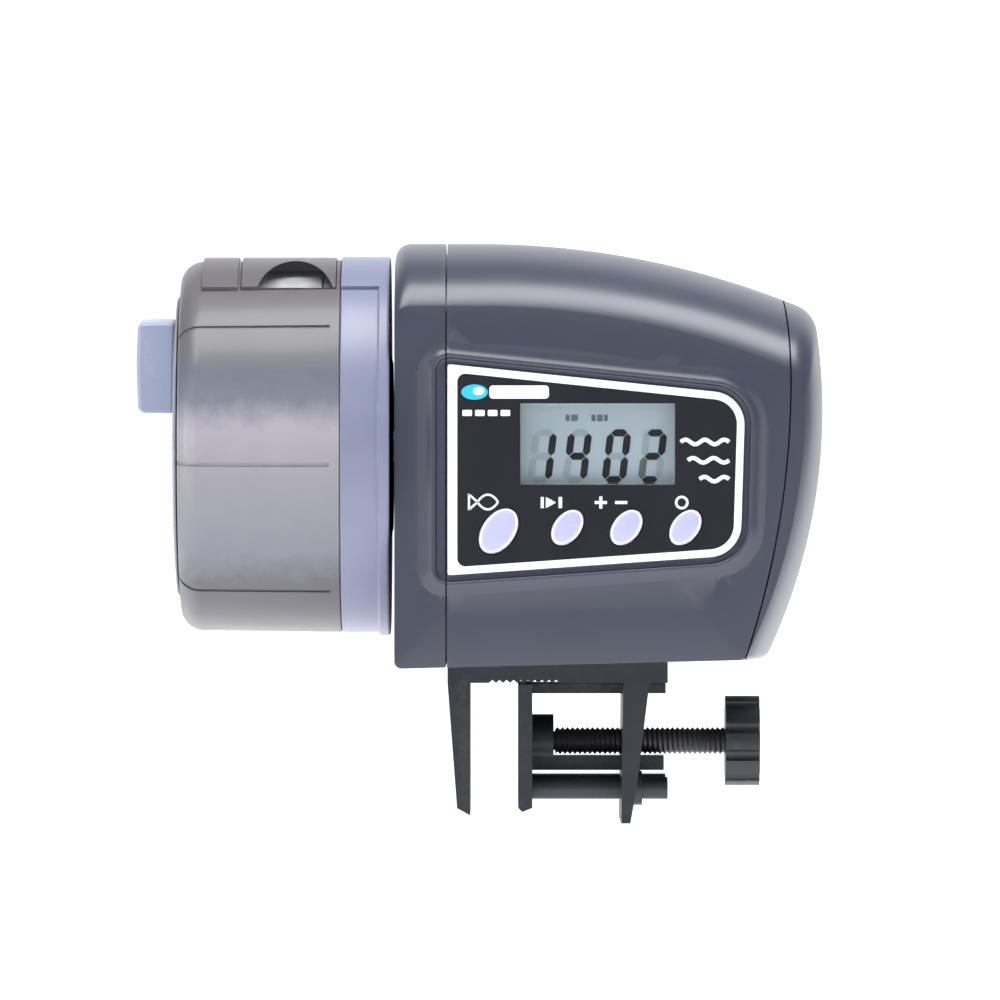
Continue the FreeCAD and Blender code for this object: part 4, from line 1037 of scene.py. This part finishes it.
def make_prints():
    outer = panel_outline(0, LABEL_LEFT, 0.5, 6.5)
    inner = panel_outline(-1.5, -4.4, 1.6, 4.9)
    border = from_rings("border", [
        [(x, PRINT_FRONT, z) for x, z in outer], [(x, PRINT_FRONT, z) for x, z in inner],
        [(x, PRINT_BACK, z) for x, z in inner], [(x, PRINT_BACK, z) for x, z in outer]], True)
    marks = [border, printed_bar(1.9, 13.6, 56.1, 58.7, 0.7)]
    marks += fish_mark(0.9, 35.8)
    # three ripples to the right of the display
    marks += [wave(39.5, 49.0, 47.6, 0.45, 2.5, 0.8), wave(40.9, 49.0, 44.0, 0.45, 2.0, 0.8),
              wave(43.2, 49.0, 40.3, 0.45, 1.5, 0.8)]
    # a row of dashes under the plain badge
    marks += [printed_bar(start, start + 1.9, 52.7, 53.9, 0.25) for start in (-3.4, -0.9, 1.6, 4.1)]
    # key marks: a play triangle and bar, a plus and a minus, a ring
    marks += [printed([(13.0, 36.8), (15.0, 35.7), (13.0, 34.6)]), printed_bar(15.5, 16.2, 34.6, 36.8, 0.1),
              printed_bar(12.0, 12.6, 34.6, 36.8, 0.1)]
    marks += [printed_bar(22.6, 25.0, 35.4, 36.0, 0.1), printed_bar(23.5, 24.1, 34.5, 35.35, 0.1),
              printed_bar(23.5, 24.1, 36.05, 36.9, 0.1), printed_bar(26.6, 29.0, 35.4, 36.0, 0.1)]
    ring = [(39.7 + 1.1 * sin(2 * pi * step / 32), 35.7 + 1.1 * cos(2 * pi * step / 32))
            for step in range(33)]
    marks.append(printed_stroke(ring, 0.5))
    place_piece(join_all("label_white_print", marks), "housing", PRINT_WHITE, "label_print")
    place_piece(slab("badge_oval", oval_points(-1.0, 57.4, 2.6, 1.5), PRINT_FRONT, PRINT_BACK), "housing",
                BADGE_CYAN, "label_print")
    place_piece(slab("badge_spot", oval_points(-0.2, 57.6, 1.1, 0.8), PRINT_FRONT - 0.04, -35.6), "housing",
                PRINT_WHITE, "label_print")


def make_display():
    face = block("display_glass", (6.0, -31.9, 38.0), (40.4, -28.5, 57.0))
    front_inset(face, 0.8, 0)
    front_inset(face, 0.2, -0.12)
    soften(face, 0.15, 2, 50)
    place_piece(face, "housing", LCD_GREY, "lcd_face", "lcd_module")
    pane = block("display_window", (8.1, -34.0, 39.3), (38.3, -32.8, 55.1))
    front_inset(pane, 0.5, 0.0)
    soften(pane, 0.2, 3, 50)
    place_piece(pane, "housing", CLEAR, "window_clear", "lcd_window")
    make_digits()


BAR_DEPTH = (-31.90, -31.70)


def digit_segment(left, low, which):
    """One leaning bar of a digit: outline points (along, up) in the digit's own square."""
    wide, tall, thick, gap = 4.75, 10.6, 1.4, 0.1
    middle = tall / 2
    tip = thick / 2

    def lying(height):
        return [(gap + tip, height), (2 * tip + gap, height + tip), (wide - 2 * tip - gap, height + tip),
                (wide - tip - gap, height), (wide - 2 * tip - gap, height - tip),
                (2 * tip + gap, height - tip)]

    def upright(across, bottom, top):
        return [(across, bottom + gap), (across - tip, bottom + gap + tip), (across - tip, top - gap - tip),
                (across, top - gap), (across + tip, top - gap - tip), (across + tip, bottom + gap + tip)]

    shapes = {
        "a": lying(tall - tip), "g": lying(middle), "d": lying(tip),
        "f": upright(tip, middle, tall - tip), "b": upright(wide - tip, middle, tall - tip),
        "e": upright(tip, tip, middle), "c": upright(wide - tip, tip, middle),
    }
    lean = tan(radians(7))
    return [(left + x + z * lean, low + z) for x, z in shapes[which]]


def make_digits():
    """Four digits, lit bars dark and unlit bars faint."""
    lit = ("bc", "bcfg", "abcdef", "abdg")
    fading = ("", "", "", "e")
    groups = {"dark": [], "fading": [], "faint": []}
    for left, dark_bars, fading_bars in zip((9.3, 16.2, 23.9, 31.0), lit, fading):
        for bar in "abcdefg":
            kind = "dark" if bar in dark_bars else "fading" if bar in fading_bars else "faint"
            groups[kind].append(slab("bar", digit_segment(left, 39.5, bar), *BAR_DEPTH))
    for left, right in ((16.9, 17.7), (18.0, 19.3), (22.0, 22.8), (23.1, 24.2), (24.5, 25.2)):
        corners = [(left, 53.0), (right, 53.0), (right, 51.7), (left, 51.7)]
        groups["fading"].append(slab("mark", rounded(corners, 0.2, 3), *BAR_DEPTH))
    for kind, material in (("dark", LCD_DARK), ("fading", LCD_FADING), ("faint", LCD_GHOST)):
        place_piece(join_all(f"display_{kind}_bars", groups[kind]), "housing", material, "lcd_face")


def button_cap(name, along, up, long_half, short_half, lean):
    """The soft top of a key: an oval that rises to a low dome."""
    rows = ((1.0, -35.7), (1.0, -36.16), (0.985, -36.2), (0.9, -36.27), (0.75, -36.35),
            (0.5, -36.42), (0.2, -36.46))
    turn = radians(lean)
    rings = []
    for share, depth in rows:
        ring = []
        for step in range(64):
            angle = 2 * pi * step / 64
            x, z = short_half * share * sin(angle), long_half * share * cos(angle)
            ring.append((along + x * cos(turn) + z * sin(turn), depth,
                         up - x * sin(turn) + z * cos(turn)))
        rings.append(ring)
    piece = from_rings(name, rings)
    make_active(piece)
    bpy.ops.object.shade_smooth_by_angle(angle=radians(50))
    return piece


def make_buttons():
    for name, (x, z, long_half, short_half, lean) in BUTTONS.items():
        body = name.replace("button_", "") + "_key"
        rim = oval(name + "_rim", x, z, long_half, short_half, lean, -36.3, -31.5)
        unite(rim, oval("flange", x, z, long_half + 1, short_half + 1, lean, -31.9, -31.1))
        front_inset(rim, 0.55, 0)
        front_inset(rim, 0.04, -0.35)
        soften(rim, 0.14, 3, 40)
        place_piece(rim, body, BUTTON_RIM, "button_plastic", name)
        cap = button_cap(name + "_cap", x, z, long_half - 0.62, short_half - 0.62, lean)
        place_piece(cap, body, LILAC, "button_plastic")


# ==== Food drum ====

def make_food_drum():
    cup = turned("food_cup", rounded(
        [(-59.6, 6.05), (-59.6, 36.8), (-27.6, 37.2), (-27.6, 35.0), (-57.6, 34.7), (-57.6, 6.05)],
        [0.2, 4.5, 0.3, 0.2, 2.6, 0.2], 9))
    carve(cup, wedge("window", -47.4, -28.4, 45, 30, 27.6))
    core = turned("core", rounded([(-59.25, 0.0), (-59.25, 36.45), (-27.0, 36.8), (-27.0, 0.0)],
                                  [0, 4.2, 0, 0], 9), 96)
    for step in range(1, 8):
        groove = block("groove", (-63, -0.4, 31.6), (-29.6, 0.4, 40))
        combine(groove, core, "DIFFERENCE", True)
        groove.data.transform(Matrix.Rotation(radians(45 * step), 4, "X"))
        carve(cup, groove)
    bpy.data.objects.remove(core)
    unite(cup, wedge("pad", -55.1, -47.9, 37.7, 35.5, 27.6, bend=0.4))
    soften(cup, 0.12, 2, 40)
    place_piece(to_drum_axis(cup), "food_cup", SMOKE, "smoke_clear", "food_drum")

    panel = to_drum_axis(wedge("outlet_cover", -47.3, -28.5, 37.7, 35.05, 27.45, bend=0.4))
    moon = round_bar("moon", "y", -45, -3, (-36.6, 76.0), 7.8, 96)
    combine(moon, block("above", (-60, -50, 78.2), (-20, 0, 110)), "INTERSECT")
    carve(panel, moon)
    soften(panel, 0.12, 2, 40)
    place_piece(panel, "food_cup", SMOKE, "smoke_clear", "outlet_frame")


def make_ring():
    ring = turned("drum_ring_band", rounded(
        [(-31.0, 33.2), (-31.0, 34.7), (-29.6, 34.7), (-29.6, 34.1), (-28.4, 34.1), (-28.4, 34.7),
         (-27.5, 34.7),
         (-27.5, 37.2), (-20.0, 37.2), (-20.0, 37.85), (-17.8, 37.85), (-17.8, 20.2), (-19.8, 20.2),
         (-19.8, 0.0), (-21.8, 0.0), (-21.8, 33.2)],
        [0.2, 0.2, 0, 0, 0, 0, 0, 0.35, 0.3, 0.3, 0.6, 0.3, 0.2, 0, 0, 0.8], 6), 180)
    unite(ring, wedge("crest", -27.5, -18.8, 37.85, 36.2, 27.6, bend=0.35))
    soften(ring, 0.12, 2, 40)
    # The ring takes the darker, painted-shade copy of the lavender plastic.
    place_piece(to_drum_axis(ring), "drum_drive", RING_PAINTED_SHADE, "ring_plastic", "drum_ring")


def make_dial():
    dial = turned("dose_dial_disc", rounded(
        [(-61.2, 0.0), (-61.1, 13.5), (-60.8, 24.0), (-60.4, 29.5), (-59.9, 30.0), (-59.9, 6.0), (-57.3, 6.0),
         (-57.3, 0.0)], [0, 0, 0, 0.3, 0.2, 0.2, 0.2, 0], 4))
    for step in range(9):
        tick = block("tick", (-62, -0.25, 25.6), (-60.45, 0.25, 28.4))
        tick.data.transform(Matrix.Rotation(radians(20 * step - 80), 4, "X"))
        carve(dial, tick)
    soften(dial, 0.08, 2, 40)
    place_piece(to_drum_axis(dial), "dose_adjuster", DIAL_GREY, "dial_plastic", "dose_dial")
    grip = slab("dial_grip", rounded(
        [(-68.2, 7.0), (-68.5, 16.0), (-68.2, 25.1), (-60.7, 25.2), (-61.0, 6.9)],
        [1.4, 6.0, 1.4, 0, 0], 8), -5, 5)
    soften(grip, 0.9, 5, 40)
    place_piece(to_drum_axis(grip), "dose_adjuster", LAVENDER, "ring_plastic", "dial_knob")


# ==== Clamp ====

SCREW_AXIS = -11.9


def make_clamp():
    for node, name, body in (("clamp_bracket", "tank_bracket", "housing"), ("clamp_jaw", "tank_jaw", "jaw")):
        piece = copy_of_node(node, name)
        soften(piece, 0.25, 2, 40)
        place_piece(piece, body, CLAMP_PLASTIC, "clamp_plastic", node)
    rods = []
    for side in (-13, 13):
        rod = round_bar("rod", "x", 8.8, 37.3, (side, -21.0), 2.2, 48)
        start_editing(rod)
        select_faces(rod, lambda centre, normal: normal.x > 0.9)
        bpy.ops.mesh.inset(thickness=0.7 * MM, depth=0)
        bpy.ops.mesh.inset(thickness=0.15 * MM, depth=-0.5 * MM)
        stop_editing()
        rods.append(soften(rod, 0.2, 2))
    place_piece(join_all("jaw_rods", rods), "jaw", CLAMP_PLASTIC, "clamp_plastic", "guide_rods")


def make_screw():
    """A true thread of one millimetre pitch, with a plain nose that turns in the jaw."""
    pitch, crest, root = 1.0, 2.68, 2.3
    profile = ((0.0, root), (0.1, root), (0.42, crest), (0.58, crest), (0.9, root), (1.0, root))
    points = [(x * pitch * MM, 0, r * MM) for x, r in profile]
    thread = new_piece("clamp_screw_thread", points, [(index, index + 1) for index in range(5)], [])
    make_active(thread)
    winding = thread.modifiers.new("winding", "SCREW")
    winding.axis = "X"
    winding.screw_offset = pitch * MM
    winding.iterations = 42
    winding.steps = winding.render_steps = 28
    winding.use_merge_vertices = True
    winding.merge_threshold = 0.000005
    bpy.ops.object.modifier_apply(modifier="winding")
    low = min(point.co.x for point in thread.data.vertices)
    thread.data.transform(Matrix.Translation((13.0 * MM - low, 0, SCREW_AXIS * MM)))
    clean(thread, 0.000005)
    # both ends are cut square, clear of the winding's own corners
    for place, direction in ((15.013, -1), (53.907, 1)):
        start_editing(thread)
        bpy.ops.mesh.bisect(plane_co=(place * MM, 0, 0), plane_no=(direction, 0, 0), use_fill=True,
                            clear_outer=True, threshold=0.0000005)
        stop_editing()
    clean(thread, 0.000002)
    unite(thread, soften(round_bar("nose", "x", 12.6, 15.6, (0, SCREW_AXIS), 1.9, 48), 0.25, 2))
    mend(thread, 0.03)
    bpy.ops.object.shade_smooth_by_angle(angle=radians(28))
    place_piece(thread, "hand_screw", SCREW_BLACK, "clamp_plastic", "clamp_screw")


def make_hand_knob():
    knob = round_bar("clamp_hand_knob", "x", 49.0, 55.8, (0, SCREW_AXIS), 9.0, 120)
    for step in range(10):
        turn = radians(36 * step + 18)
        place = (9.3 * cos(turn), SCREW_AXIS + 9.3 * sin(turn))
        carve(knob, round_bar("flute", "x", 46, 58, place, 1.25, 32))
    carve(knob, round_bar("recess", "x", 55.1, 57, (0, SCREW_AXIS), 5.6, 72))
    soften(knob, 0.35, 3, 50)
    place_piece(knob, "hand_screw", CLAMP_PLASTIC, "clamp_plastic", "clamp_knob")


make_camera()
make_studio()
make_backdrop()
finish_carried_nodes()
make_shells()
make_label()
make_prints()
make_display()
make_buttons()
make_food_drum()
make_ring()
make_dial()
make_clamp()
make_screw()
make_hand_knob()
